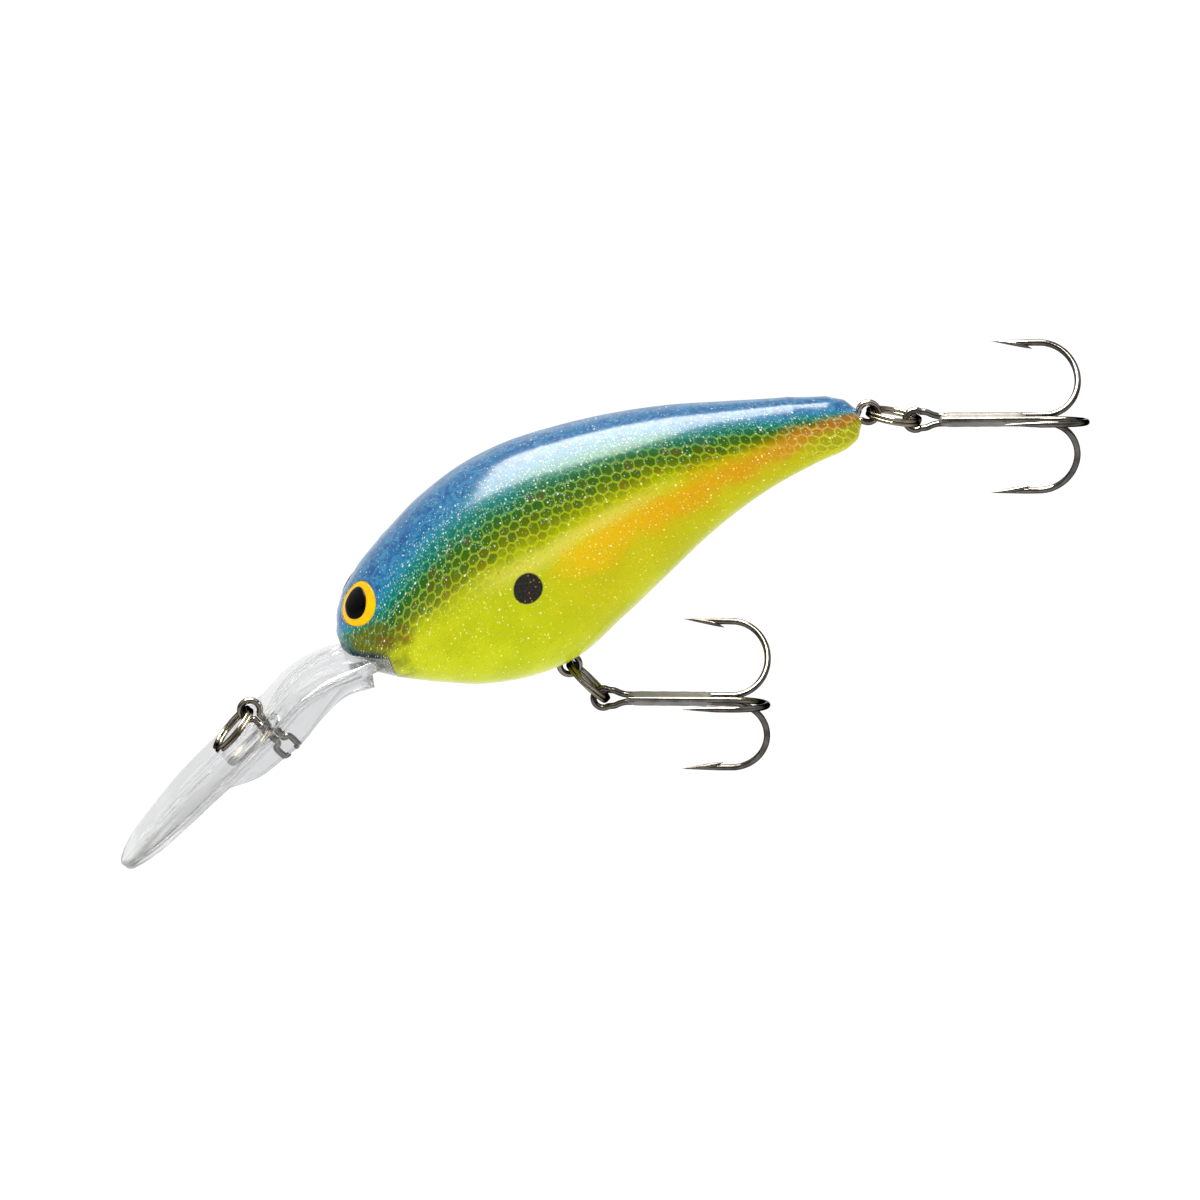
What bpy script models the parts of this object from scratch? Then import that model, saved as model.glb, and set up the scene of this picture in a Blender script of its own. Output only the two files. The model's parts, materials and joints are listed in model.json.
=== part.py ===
"""Deep-diving crankbait lure: hollow two-half body, clear diving lip, line tie, hook hangers,
split rings and two treble hooks, with a rattle race and ballast inside.

The row frame has its origin at the centre of the line tie's eye, +X towards the tail, +Y to the
lure's left and +Z up, with the lure in its nose-down running attitude. Sizes are in millimetres
and are scaled to metres as the meshes are made.
"""

import math

import bmesh
import bpy
from mathutils import Matrix, Vector

MM = 0.001

# ---- driving dimensions, in millimetres and degrees ----
DIVE_ANGLE = 19.0  # how far the body's long axis leans nose-down
NOSE = Vector((12.9, 0.0, 12.5))  # start of the body's long axis
WALL = 1.7  # shell wall
FIT_GAP = 0.15  # clearance round a piece seated in another
SEAM_GAP = 0.10  # between the mating faces of the two shells
SECTION_POWER = 2.25  # above 2 the body's cross-section gets fuller sides

# body outline: distance along the axis, back height, belly depth, half width
BODY_OUTLINE = [
    (-1.30, -1.2, -3.8, 1.6),
    (-0.40, 1.2, -6.0, 4.2),
    (1.40, 3.7, -7.8, 6.3),
    (4.80, 6.5, -10.0, 8.3),
    (9.00, 9.1, -12.2, 9.7),
    (15.0, 12.2, -14.8, 11.0),
    (22.0, 14.6, -16.2, 11.5),
    (29.0, 15.6, -15.8, 11.3),
    (36.0, 15.4, -12.9, 10.6),
    (44.0, 14.5, -9.3, 9.3),
    (52.0, 12.9, -5.7, 7.6),
    (60.0, 10.6, -3.1, 5.8),
    (68.0, 8.3, -1.7, 4.3),
    (73.0, 6.6, -1.3, 3.4),
    (75.3, 5.2, -0.4, 2.5),
    (76.3, 3.6, 1.2, 1.2),
]
BODY_RINGS = 22
BODY_SIDES = 18
CAVITY_FRONT = 12.5
CAVITY_REAR = 63.0

WIRE = 0.90  # hook and hanger wire
LOOP_RADIUS = 1.37  # centre line of a hanger's round loop
STEM_PITCH = 1.02  # between the two legs of a hanger's stem

RING_OUTER = 7.8
RING_RADIAL = 0.60
RING_AXIAL = 0.50
RING_COIL_GAP = 0.08
RING_STEP_DEG = 35.0  # where the wire steps from one coil to the next

BELLY_LOOP = Vector((44.3, 0.0, 5.3))
TAIL_LOOP = Vector((85.6, 0.0, 40.2))
BELLY_RING_FALL = 44.0  # how far each ring points below the horizontal
TAIL_RING_FALL = 10.0
LINE_RING_ANGLE = 229.0  # the line tie's ring lies forward on the lip

TREBLE_ROLL = 9.5  # the third hook stands this far above the horizontal
BELLY_TREBLE_YAW = -7.5  # each treble hangs a little askew
TAIL_TREBLE_YAW = -3.7
TREBLE_EYE_BACK = 1.85  # from the pivot back to the eye wire's centre
TREBLE_EYE_RADIUS = 1.35
TREBLE_NECK = 3.2
TREBLE_BEND_START = 17.3
TREBLE_BEND_ALONG = 5.0
TREBLE_BEND_ACROSS = 5.65
TREBLE_POINT_LENGTH = 6.8
SHANK_PITCH = 1.0
BARB_FROM_TIP = 4.4

# diving lip: along the top face's centre line, X, Z, half width, arch drop, thickness
LIP_STATIONS = [
    (23.5, 10.3, 5.0, 0.7, 2.6),
    (17.5, 9.5, 6.4, 1.0, 2.8),
    (13.9, 8.7, 7.8, 1.3, 2.9),
    (10.4, 7.5, 8.8, 1.2, 2.8),
    (7.6, 5.7, 9.6, 0.9, 2.6),
    (5.0, 3.2, 10.4, 0.5, 2.4),
    (1.9, -0.7, 11.4, 0.2, 2.2),
    (-2.2, -4.8, 12.1, 0.1, 2.1),
    (-6.2, -8.6, 12.3, 0.0, 2.0),
    (-10.0, -12.4, 11.8, 0.0, 1.9),
    (-13.6, -16.2, 10.0, 0.0, 1.8),
    (-16.6, -19.3, 6.9, 0.0, 1.7),
    (-18.0, -20.9, 2.9, 0.0, 1.5),
]
LIP_ACROSS = (-1.0, -0.7, -0.35, 0.0, 0.35, 0.7, 1.0)
LIP_EDGE_THINNING = 0.4
# keel under the lip: X, Z of its top, X, Z of its foot, half thickness
KEEL_STATIONS = [
    (16.5, 7.8, 17.2, 2.9, 4.2),
    (12.4, 6.6, 13.3, 1.6, 3.0),
    (8.6, 4.6, 10.2, -1.2, 1.9),
    (4.0, 0.0, 7.2, -4.9, 1.5),
    (0.2, -4.0, 4.0, -7.6, 1.4),
    (-2.4, -6.6, 1.0, -9.8, 1.2),
    (-5.4, -9.6, -3.4, -11.3, 0.8),
]
CHIN_NOTCH = [(12.0, 8.35), (18.9, 9.0), (20.9, 3.2), (20.9, -3.0), (8.0, -3.0), (8.0, 7.0)]
LINE_TIE_AXIS = Vector((0.695, 0.0, -0.719))
LINE_TIE_ANCHOR = 7.0

EYE_AT = (3.3, 3.1)  # along the axis and above it
EYE_RADIUS = 3.15
PUPIL_RADIUS = 2.1

RACE_RADIUS = 2.60
RACE_WALL = 1.0
RACE_SPAN = (22.0, 46.0)
RACE_HEIGHT = 2.5
BALL_RADIUS = 2.38
BALL_COUNT = 3
BALL_GAP = 0.12

BALLAST_AT = (18.4, -10.6)
BALLAST_RADII = (4.7, 2.6, 2.6)

PIN_RADIUS = 0.9
PIN_REACH = 1.8
PINS_AT = [(9.5, 3.5), (33.0, 13.0 - 2.6), (66.5, 1.0)]


def clear_scene():
    for old in list(bpy.data.objects):
        bpy.data.objects.remove(old)


def make_material(name, colour, roughness, metallic=0.0, alpha=1.0):
    made = bpy.data.materials.new(name)
    made.use_nodes = True
    shader = made.node_tree.nodes["Principled BSDF"]
    shader.inputs["Base Color"].default_value = (*colour, 1.0)
    shader.inputs["Roughness"].default_value = roughness
    shader.inputs["Metallic"].default_value = metallic
    shader.inputs["Alpha"].default_value = alpha
    return made


def add_object(name, mesh, material=None, parent=None):
    made = bpy.data.objects.new(name, mesh)
    bpy.context.scene.collection.objects.link(made)
    if material:
        mesh.materials.append(material)
    made.parent = parent
    return made


def mesh_from(name, shape):
    bmesh.ops.recalc_face_normals(shape, faces=shape.faces)
    bmesh.ops.triangulate(shape, faces=shape.faces)
    mesh = bpy.data.meshes.new(name)
    shape.transform(Matrix.Scale(MM, 4))
    shape.to_mesh(mesh)
    shape.free()
    mesh.shade_smooth()
    mesh.set_sharp_from_angle(angle=math.radians(40))
    return mesh


def add_cutter(name, shape, parent=None):
    cutter = add_object(name, mesh_from(name, shape), parent=parent)
    cutter.hide_render = True
    cutter.display_type = "WIRE"
    return cutter


def combine(target, other, operation):
    modifier = target.modifiers.new(f"{operation.lower()}_{other.name}", "BOOLEAN")
    modifier.operation = operation
    modifier.solver = "EXACT"
    modifier.object = other


# ---- smooth curve through hand-set rows ----
def between_rows(rows, position):
    """Every column of the rows at a position counted in rows, on a Catmull-Rom curve."""
    first = min(int(position), len(rows) - 2)
    t = position - first
    picked = [rows[max(0, min(len(rows) - 1, first + k))] for k in (-1, 0, 1, 2)]
    return [
        0.5 * (2 * b + (c - a) * t + (2 * a - 5 * b + 4 * c - d) * t * t + (3 * b - a - 3 * c + d) * t**3)
        for a, b, c, d in zip(*picked)
    ]


def body_section(along):
    """Back height, belly depth and half width of the body at a distance along its axis."""
    rows = BODY_OUTLINE
    for k in range(len(rows) - 1):
        if along <= rows[k + 1][0] or k == len(rows) - 2:
            t = (along - rows[k][0]) / (rows[k + 1][0] - rows[k][0])
            return between_rows(rows, k + max(0.0, min(1.0, t)))[1:]


def section_ring(shape, along, inset=0.0, sides=BODY_SIDES):
    """One closed cross-section of the body, as vertices."""
    back, belly, half = body_section(along)
    tall, half = (back - belly) / 2 - inset, half - inset
    middle = (back + belly) / 2
    ring = []
    for k in range(sides):
        angle = 2 * math.pi * (k + 0.5) / sides
        c, s = math.cos(angle), math.sin(angle)
        across = half * math.copysign(abs(c) ** (2 / SECTION_POWER), c)
        up = tall * math.copysign(abs(s) ** (2 / SECTION_POWER), s)
        ring.append(shape.verts.new((along, across, middle + up)))
    return ring


def bridge_rings(shape, rings):
    for near, far in zip(rings, rings[1:]):
        for k in range(len(near)):
            nxt = (k + 1) % len(near)
            shape.faces.new((near[k], near[nxt], far[nxt], far[k]))
    shape.faces.new(rings[0])
    shape.faces.new(rings[-1])


def body_loft(front, rear, rings, inset=0.0, sides=BODY_SIDES):
    shape = bmesh.new()
    made = []
    for k in range(rings):
        t = k / (rings - 1)
        eased = (1 - math.cos(math.pi * t)) / 2
        made.append(section_ring(shape, front + (rear - front) * (0.45 * t + 0.55 * eased), inset, sides))
    bridge_rings(shape, made)
    return shape


def half_body(side):
    """One half of the body's outer form, closed along its mating face."""
    shape = body_loft(BODY_OUTLINE[0][0], BODY_OUTLINE[-1][0], BODY_RINGS)
    bmesh.ops.bisect_plane(
        shape,
        geom=shape.verts[:] + shape.edges[:] + shape.faces[:],
        plane_co=(0, side * SEAM_GAP / 2, 0),
        plane_no=(0, -side, 0),
        clear_outer=True,
    )
    bmesh.ops.holes_fill(shape, edges=[e for e in shape.edges if e.is_boundary])
    return shape


# ---- simple shapes, in millimetres ----
def cylinder(radius, depth, place, sides=16):
    shape = bmesh.new()
    bmesh.ops.create_cone(
        shape, cap_ends=True, segments=sides, radius1=radius, radius2=radius, depth=depth, matrix=place
    )
    return shape


def across_cylinder(radius, depth, along, up, sides=16, middle=0.0):
    place = Matrix.Translation((along, middle, up)) @ Matrix.Rotation(math.pi / 2, 4, "X")
    return cylinder(radius, depth, place, sides)


def along_cylinder(radius, start, end, up, sides=16):
    place = Matrix.Translation(((start + end) / 2, 0, up)) @ Matrix.Rotation(math.pi / 2, 4, "Y")
    return cylinder(radius, end - start, place, sides)


def block(low, high):
    low, high = Vector(low), Vector(high)
    shape = bmesh.new()
    size = high - low
    place = Matrix.Translation((low + high) / 2) @ Matrix.Diagonal((*size, 1.0))
    bmesh.ops.create_cube(shape, size=1.0, matrix=place)
    return shape


def ellipsoid(radii, centre, rings=8, sides=12):
    shape = bmesh.new()
    place = Matrix.Translation(centre) @ Matrix.Diagonal((*radii, 1.0)) @ Matrix.Rotation(math.pi / 2, 4, "Y")
    bmesh.ops.create_uvsphere(shape, u_segments=sides, v_segments=rings, radius=1.0, matrix=place)
    return shape


def turned(profile, sides=24):
    """A solid turned about +Z from (radius, height) pairs; the first and last are on the axis."""
    shape = bmesh.new()
    line = [shape.verts.new((r, 0, z)) for r, z in profile]
    edges = [shape.edges.new(pair) for pair in zip(line, line[1:])]
    bmesh.ops.spin(
        shape, geom=line + edges, axis=(0, 0, 1), cent=(0, 0, 0), angle=2 * math.pi, steps=sides, use_merge=True
    )
    bmesh.ops.remove_doubles(shape, verts=shape.verts, dist=0.001)
    return shape


# ---- wire work ----
def arc(centre, radius, start, end, steps, squash=1.0):
    """Points on an arc in the XZ plane, angles in degrees from +X towards +Z."""
    points = []
    for k in range(steps + 1):
        a = math.radians(start + (end - start) * k / steps)
        points.append(Vector((centre[0] + radius * squash * math.cos(a), 0, centre[1] + radius * math.sin(a))))
    return points


def wire_shape(points, radius, widths=None, resolution=2):
    """A round wire along points, as a closed bmesh in millimetres."""
    curve = bpy.data.curves.new("wire", "CURVE")
    curve.dimensions = "3D"
    curve.bevel_depth = radius
    curve.bevel_resolution = resolution
    curve.use_fill_caps = True
    spline = curve.splines.new("POLY")
    spline.points.add(len(points) - 1)
    for k, point in enumerate(points):
        spline.points[k].co = (*point, 1.0)
        spline.points[k].radius = widths[k] if widths else 1.0
    holder = bpy.data.objects.new("wire", curve)
    bpy.context.scene.collection.objects.link(holder)
    graph = bpy.context.evaluated_depsgraph_get()
    mesh = bpy.data.meshes.new_from_object(holder.evaluated_get(graph))
    shape = bmesh.new()
    shape.from_mesh(mesh)
    bpy.data.objects.remove(holder)
    bpy.data.curves.remove(curve)
    bpy.data.meshes.remove(mesh)
    bmesh.ops.remove_doubles(shape, verts=shape.verts, dist=0.0005)
    return shape


def hanger_path(anchor_distance, square_anchor=False):
    """A wire bent into a round loop at the origin, a two-leg stem along -Z and an anchor loop."""
    leg = STEM_PITCH / 2
    open_deg = math.degrees(math.asin(leg / LOOP_RADIUS))
    loop = arc((0, 0), LOOP_RADIUS, -90 + open_deg, 270 - open_deg, 18)
    if square_anchor:
        low, high, wide = -anchor_distance - 1.2, -anchor_distance + 1.1, 1.25
        right = [Vector((leg, 0, high)), Vector((wide, 0, high - 0.45)), Vector((wide, 0, low + 0.25))]
        right += [Vector((wide - 0.3, 0, low)), Vector((0.55, 0, low))]
    else:
        centre = (0, -anchor_distance)
        right = arc(centre, LOOP_RADIUS, 90 - open_deg, -68, 9)
    left = [Vector((-p.x, 0, p.z)) for p in right]
    return left[::-1] + loop[::-1] + right


def place_along(direction):
    """Turns -Z onto a direction in the XZ plane, keeping Y."""
    turn = math.atan2(-direction.x, -direction.z)
    return Matrix.Rotation(turn, 4, "Y")


def split_ring():
    """A double-coil split ring about the Z axis: each coil lies flat and one step joins them."""
    shape = bmesh.new()
    inner, outer = RING_OUTER / 2 - RING_RADIAL, RING_OUTER / 2
    low = -RING_AXIAL - RING_COIL_GAP / 2
    corners = [(inner, low), (outer, low), (outer, low + RING_AXIAL), (inner, low + RING_AXIAL)]
    face = shape.faces.new([shape.verts.new((0, -r, z)) for r, z in corners])
    lift = RING_AXIAL + RING_COIL_GAP
    end = 720 - RING_STEP_DEG - 8
    stops = list(range(0, 361 - int(RING_STEP_DEG), 13)) + [360 - RING_STEP_DEG]
    stops += [360 - RING_STEP_DEG * 0.66, 360 - RING_STEP_DEG * 0.33, 360]
    stops += [360 + s for s in range(13, int(end - 360), 13)] + [end]

    def height(angle):
        t = min(1.0, max(0.0, (angle - 360 + RING_STEP_DEG) / RING_STEP_DEG))
        return lift * t * t * (3 - 2 * t)

    for before, after in zip(stops, stops[1:]):
        grown = bmesh.ops.extrude_face_region(shape, geom=[face, *face.edges])
        verts = [g for g in grown["geom"] if isinstance(g, bmesh.types.BMVert)]
        face = next(g for g in grown["geom"] if isinstance(g, bmesh.types.BMFace))
        bmesh.ops.rotate(
            shape, verts=verts, cent=(0, 0, 0), matrix=Matrix.Rotation(math.radians(after - before), 3, "Z")
        )
        bmesh.ops.translate(shape, verts=verts, vec=(0, 0, height(after) - height(before)))
    return shape


def ring_frame(loop, angle):
    """Where a split ring sits when it points from a loop's centre at an angle in the XZ plane."""
    out = Vector((math.cos(math.radians(angle)), 0, math.sin(math.radians(angle))))
    reach = (RING_OUTER - RING_RADIAL) / 2
    side = Vector((0, 1, 0))
    normal = out.cross(side)
    turn = Matrix((out, side, normal)).transposed().to_4x4()
    far = loop + out * 2 * reach
    return Matrix.Translation((loop + out * reach) * MM) @ turn, far, out, normal


def hook_arm(turn_deg):
    """Shank, bend and point of one hook in the treble's frame, from the neck to the tip."""
    shank = SHANK_PITCH / math.sqrt(3)
    top = shank + 2 * TREBLE_BEND_ACROSS
    centre = shank + TREBLE_BEND_ACROSS
    flat = [Vector((x, 0, shank)) for x in (TREBLE_NECK + 0.6, 8.4, 13.0, TREBLE_BEND_START - 0.6)]
    for k in range(1, 12):
        a = math.radians(-90 + 180 * k / 12)
        flat.append(
            Vector((TREBLE_BEND_START + TREBLE_BEND_ALONG * math.cos(a), 0, centre + TREBLE_BEND_ACROSS * math.sin(a)))
        )
    back = TREBLE_BEND_START
    tip = back - TREBLE_POINT_LENGTH
    flat += [Vector((back - 1.0, 0, top)), Vector((tip + BARB_FROM_TIP, 0, top - 0.05))]
    flat += [Vector((tip + 2.2, 0, top + 0.05)), Vector((tip, 0, top + 0.2))]
    widths = [1.0] * (len(flat) - 3) + [1.0, 0.62, 0.12]
    turn = Matrix.Rotation(math.radians(turn_deg), 3, "X")
    return [turn @ p for p in flat], widths


def barb(turn_deg):
    """The spur cut up behind a hook's point, on its inner side."""
    top = SHANK_PITCH / math.sqrt(3) + 2 * TREBLE_BEND_ACROSS
    tip = TREBLE_BEND_START - TREBLE_POINT_LENGTH
    lean = math.radians(62)
    place = (
        Matrix.Rotation(math.radians(turn_deg), 4, "X")
        @ Matrix.Translation((tip + BARB_FROM_TIP, 0, top - 0.62))
        @ Matrix.Rotation(math.pi - lean, 4, "Y")
    )
    shape = bmesh.new()
    bmesh.ops.create_cone(
        shape, cap_ends=True, segments=5, radius1=0.28, radius2=0.04, depth=1.7, matrix=place
    )
    return shape


def double_hook_path():
    """Tip to tip through both shanks and the eye of the double hook."""
    first, widths = hook_arm(-120)
    last, _ = hook_arm(120)
    half, level = first[0].y, first[0].z
    centre = TREBLE_EYE_RADIUS - TREBLE_EYE_BACK
    neck, side = (TREBLE_NECK - 0.4, half + 0.03), (1.3, 0.95)
    eye = [neck, side, *[(p.x, p.z) for p in arc((centre, 0), TREBLE_EYE_RADIUS, 62, 298, 12)]]
    eye += [(side[0], -side[1]), (neck[0], -neck[1])]
    eye = [Vector((x, across, level)) for x, across in eye]
    return first[::-1] + eye + last, widths[::-1] + [1.0] * len(eye) + widths


def add_treble(name, pivot, yaw_deg, steel):
    """A treble: one wire bent into the eye and two hooks, and a third hook brazed alongside."""
    frame = bpy.data.objects.new(f"{name}_pivot", None)
    bpy.context.scene.collection.objects.link(frame)
    frame.matrix_world = (
        Matrix.Translation(pivot * MM)
        @ Matrix.Rotation(math.radians(yaw_deg), 4, "Z")
        @ Matrix.Rotation(math.radians(90 - TREBLE_ROLL), 4, "X")
    )
    path, widths = double_hook_path()
    double = add_object(
        f"{name}_double_hook", mesh_from("double_hook", wire_shape(path, WIRE / 2, widths)), steel, frame
    )
    path, widths = hook_arm(0)
    single = add_object(
        f"{name}_single_hook", mesh_from("single_hook", wire_shape(path, WIRE / 2, widths)), steel, frame
    )
    for owner, turns in ((double, (120, -120)), (single, (0,))):
        for turn in turns:
            combine(owner, add_cutter(f"{name}_barb_{turn}", barb(turn), frame), "UNION")


def add_ring(name, loop, angle, steel):
    matrix, far, out, normal = ring_frame(loop, angle)
    ring = add_object(name, mesh_from(name, split_ring()), steel)
    ring.matrix_world = matrix
    return far, out, normal


def add_hanger(name, loop, inward, distance, steel, square=False):
    """A hanger wire at a loop's centre, and the channel cutter that seats it."""
    path = hanger_path(distance, square)
    place = Matrix.Translation(loop) @ place_along(inward)
    wire = wire_shape([place @ p for p in path], WIRE / 2)
    channel = wire_shape([place @ p for p in path], WIRE / 2 + FIT_GAP, resolution=1)
    made = add_object(name, mesh_from(name, wire), steel)
    return made, add_cutter(f"{name}_channel", channel)


# ---- diving lip ----
def lip_blade():
    shape = bmesh.new()
    count = len(LIP_STATIONS)
    rings = []
    for k in range(count):
        x, z, half, drop, thick = LIP_STATIONS[k]
        before, after = LIP_STATIONS[max(0, k - 1)], LIP_STATIONS[min(count - 1, k + 1)]
        tangent = Vector((after[0] - before[0], 0, after[1] - before[1])).normalized()
        down = Vector((-tangent.z, 0, tangent.x))
        ring = []
        for share in LIP_ACROSS:
            ring.append(Vector((x, half * share, z)) + down * drop * share**2)
        for share in reversed(LIP_ACROSS):
            depth = drop * share**2 + thick * (1 - LIP_EDGE_THINNING * share**2)
            ring.append(Vector((x, half * share, z)) + down * depth)
        rings.append([shape.verts.new(p) for p in ring])
    bridge_rings(shape, rings)
    return shape


def lip_keel():
    shape = bmesh.new()
    rings = []
    for top_x, top_z, foot_x, foot_z, half in KEEL_STATIONS:
        rings.append([
            shape.verts.new((top_x, half, top_z)),
            shape.verts.new((foot_x, half * 0.72, foot_z)),
            shape.verts.new((foot_x, -half * 0.72, foot_z)),
            shape.verts.new((top_x, -half, top_z)),
        ])
    bridge_rings(shape, rings)
    return shape


def notch_prism(grow, half_width=20.0):
    """The chin region where the lip's root stands in for the shells, as a prism across Y."""
    middle = Vector((15.5, 3.0))
    shape = bmesh.new()
    corners = []
    for x, z in CHIN_NOTCH:
        out = (Vector((x, z)) - middle).normalized() * grow
        corners.append(shape.verts.new((x + out.x, -half_width, z + out.y)))
    face = shape.faces.new(corners)
    grown = bmesh.ops.extrude_face_region(shape, geom=[face, *face.edges])
    verts = [g for g in grown["geom"] if isinstance(g, bmesh.types.BMVert)]
    bmesh.ops.translate(shape, verts=verts, vec=(0, 2 * half_width, 0))
    return shape


def inflated_copy(source, name, by):
    """A cutter with the source's evaluated shape, pushed out along its normals."""
    graph = bpy.context.evaluated_depsgraph_get()
    mesh = bpy.data.meshes.new_from_object(source.evaluated_get(graph))
    shape = bmesh.new()
    shape.from_mesh(mesh)
    bpy.data.meshes.remove(mesh)
    shape.transform(source.matrix_world)
    shape.transform(Matrix.Scale(1 / MM, 4))
    bmesh.ops.remove_doubles(shape, verts=shape.verts, dist=0.001)
    bmesh.ops.recalc_face_normals(shape, faces=shape.faces)
    shape.normal_update()
    for vert in shape.verts:
        vert.co += vert.normal * by * max(1.0, vert.calc_shell_factor())
    return add_cutter(name, shape)


def add_lip(plastic, axis_frame, line_channel):
    root = body_loft(BODY_OUTLINE[0][0], 12.0, 9)
    root_form = add_cutter("root_form", root, axis_frame)
    notch = add_cutter("notch_inner", notch_prism(-FIT_GAP))
    combine(root_form, notch, "INTERSECT")
    keel = add_cutter("keel", lip_keel())
    lip = add_object("diving_lip", mesh_from("diving_lip", lip_blade()), plastic)
    combine(lip, keel, "UNION")
    combine(lip, root_form, "UNION")
    bpy.context.view_layer.update()
    tongue = inflated_copy(lip, "lip_socket", FIT_GAP)
    combine(lip, line_channel, "DIFFERENCE")
    return lip, tongue


# ---- eyes ----
def eye_frame(side):
    """The tangent frame on the head at the eye, in the body's own axes."""
    along, up = EYE_AT

    def surface(a, v):
        back, belly, half = body_section(a)
        tall, middle = (back - belly) / 2, (back + belly) / 2
        share = min(0.98, abs(v - middle) / tall)
        return Vector((a, side * half * (1 - share**SECTION_POWER) ** (1 / SECTION_POWER), v))

    here = surface(along, up)
    ahead = surface(along + 0.8, up) - surface(along - 0.8, up)
    above = surface(along, up + 0.8) - surface(along, up - 0.8)
    normal = ahead.cross(above) * -side
    normal.normalize()
    if normal.y * side < 0:
        normal.negate()
    across = Vector((0, 0, 1)).cross(normal).normalized()
    turn = Matrix((across, normal.cross(across), normal)).transposed().to_4x4()
    return Matrix.Translation(here * MM) @ turn


def add_eye(name, side, shell, iris_paint, pupil_paint, axis_frame):
    frame = eye_frame(side)
    recess = PUPIL_RADIUS + 0.1
    iris = add_object(
        f"eye_iris_{name}",
        mesh_from("iris", turned([
            (0, -0.95), (EYE_RADIUS, -0.95), (EYE_RADIUS, -0.28), (EYE_RADIUS - 0.35, 0.0),
            (recess, 0.18), (recess, -0.3), (0, -0.3),
        ])),
        iris_paint, axis_frame,
    )
    pupil = add_object(
        f"eye_pupil_{name}",
        mesh_from("pupil", turned([
            (0, -0.2), (PUPIL_RADIUS, -0.2), (PUPIL_RADIUS, 0.16), (PUPIL_RADIUS * 0.6, 0.34), (0, 0.42),
        ])),
        pupil_paint, axis_frame,
    )
    socket = add_cutter(
        f"eye_socket_{name}",
        turned([(0, -1.1), (EYE_RADIUS + FIT_GAP, -1.1), (EYE_RADIUS + FIT_GAP, 2.0), (0, 2.0)]),
        axis_frame,
    )
    for piece in (iris, pupil, socket):
        piece.matrix_local = frame
    combine(shell, socket, "DIFFERENCE")


# ---- body shells ----
def add_cavity(axis_frame, belly_anchor):
    """The hollow, less the bulkheads, the race's tube, the ballast cradle and the bosses."""
    cavity = add_cutter("cavity", body_loft(CAVITY_FRONT, CAVITY_REAR, 11, WALL, 14), axis_frame)
    kept = [
        ("front_bulkhead", block((20.63, -20, -20), (21.7, 20, 20))),
        ("rear_bulkhead", block((46.4, -20, -20), (47.8, 20, 20))),
        ("race_tube", along_cylinder(RACE_RADIUS + RACE_WALL, 20.9, 47.1, RACE_HEIGHT, 14)),
        ("ballast_cradle", block((11.0, -20, -20), (25.6, 20, -10.2))),
        ("belly_boss", across_cylinder(3.4, 40, belly_anchor.x, belly_anchor.z, 12)),
        ("back_pin_boss", across_cylinder(2.4, 40, PINS_AT[1][0], PINS_AT[1][1], 10)),
    ]
    for name, shape in kept:
        combine(cavity, add_cutter(name, shape, axis_frame), "DIFFERENCE")
    return cavity


def add_shells(paints, axis_frame, cutters, cavity):
    shells = {}
    race = add_cutter("race", along_cylinder(RACE_RADIUS, *RACE_SPAN, RACE_HEIGHT, 14), axis_frame)
    pocket_radii = [r + FIT_GAP for r in BALLAST_RADII]
    pocket = add_cutter(
        "ballast_pocket", ellipsoid(pocket_radii, (BALLAST_AT[0], 0, BALLAST_AT[1])), axis_frame
    )
    for name, side in (("left", 1), ("right", -1)):
        shell = add_object(f"body_shell_{name}", mesh_from(f"shell_{name}", half_body(side)), paints[name], axis_frame)
        for cutter in (cavity, race, pocket, *cutters):
            combine(shell, cutter, "DIFFERENCE")
        for k, (along, up) in enumerate(PINS_AT):
            if side > 0:
                depth = PIN_REACH + 1.0
                pin = across_cylinder(PIN_RADIUS, depth, along, up, 10, middle=1.0 - depth / 2)
                combine(shell, add_cutter(f"pin_{k}", pin, axis_frame), "UNION")
            else:
                depth = PIN_REACH + 0.6
                hole = across_cylinder(PIN_RADIUS + 0.12, depth, along, up, 10, middle=0.3 - depth / 2)
                combine(shell, add_cutter(f"pin_hole_{k}", hole, axis_frame), "DIFFERENCE")
        shells[name] = shell
    return shells


def add_rattles(steel, axis_frame):
    start = RACE_SPAN[0] + BALL_GAP + BALL_RADIUS
    mesh = None
    for k in range(BALL_COUNT):
        if mesh is None:
            shape = bmesh.new()
            bmesh.ops.create_icosphere(shape, subdivisions=2, radius=BALL_RADIUS)
            mesh = mesh_from("rattle_ball", shape)
            mesh.materials.append(steel)
        ball = bpy.data.objects.new(f"rattle_ball_{k + 1}", mesh)
        bpy.context.scene.collection.objects.link(ball)
        ball.parent = axis_frame
        ball.location = Vector((start + k * (2 * BALL_RADIUS + BALL_GAP), 0, RACE_HEIGHT)) * MM


def axis_to_row(point):
    turn = Matrix.Rotation(math.radians(-DIVE_ANGLE), 3, "Y")
    return NOSE + turn @ Vector(point)


def row_to_axis(point):
    turn = Matrix.Rotation(math.radians(DIVE_ANGLE), 3, "Y")
    return turn @ (Vector(point) - NOSE)


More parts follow.
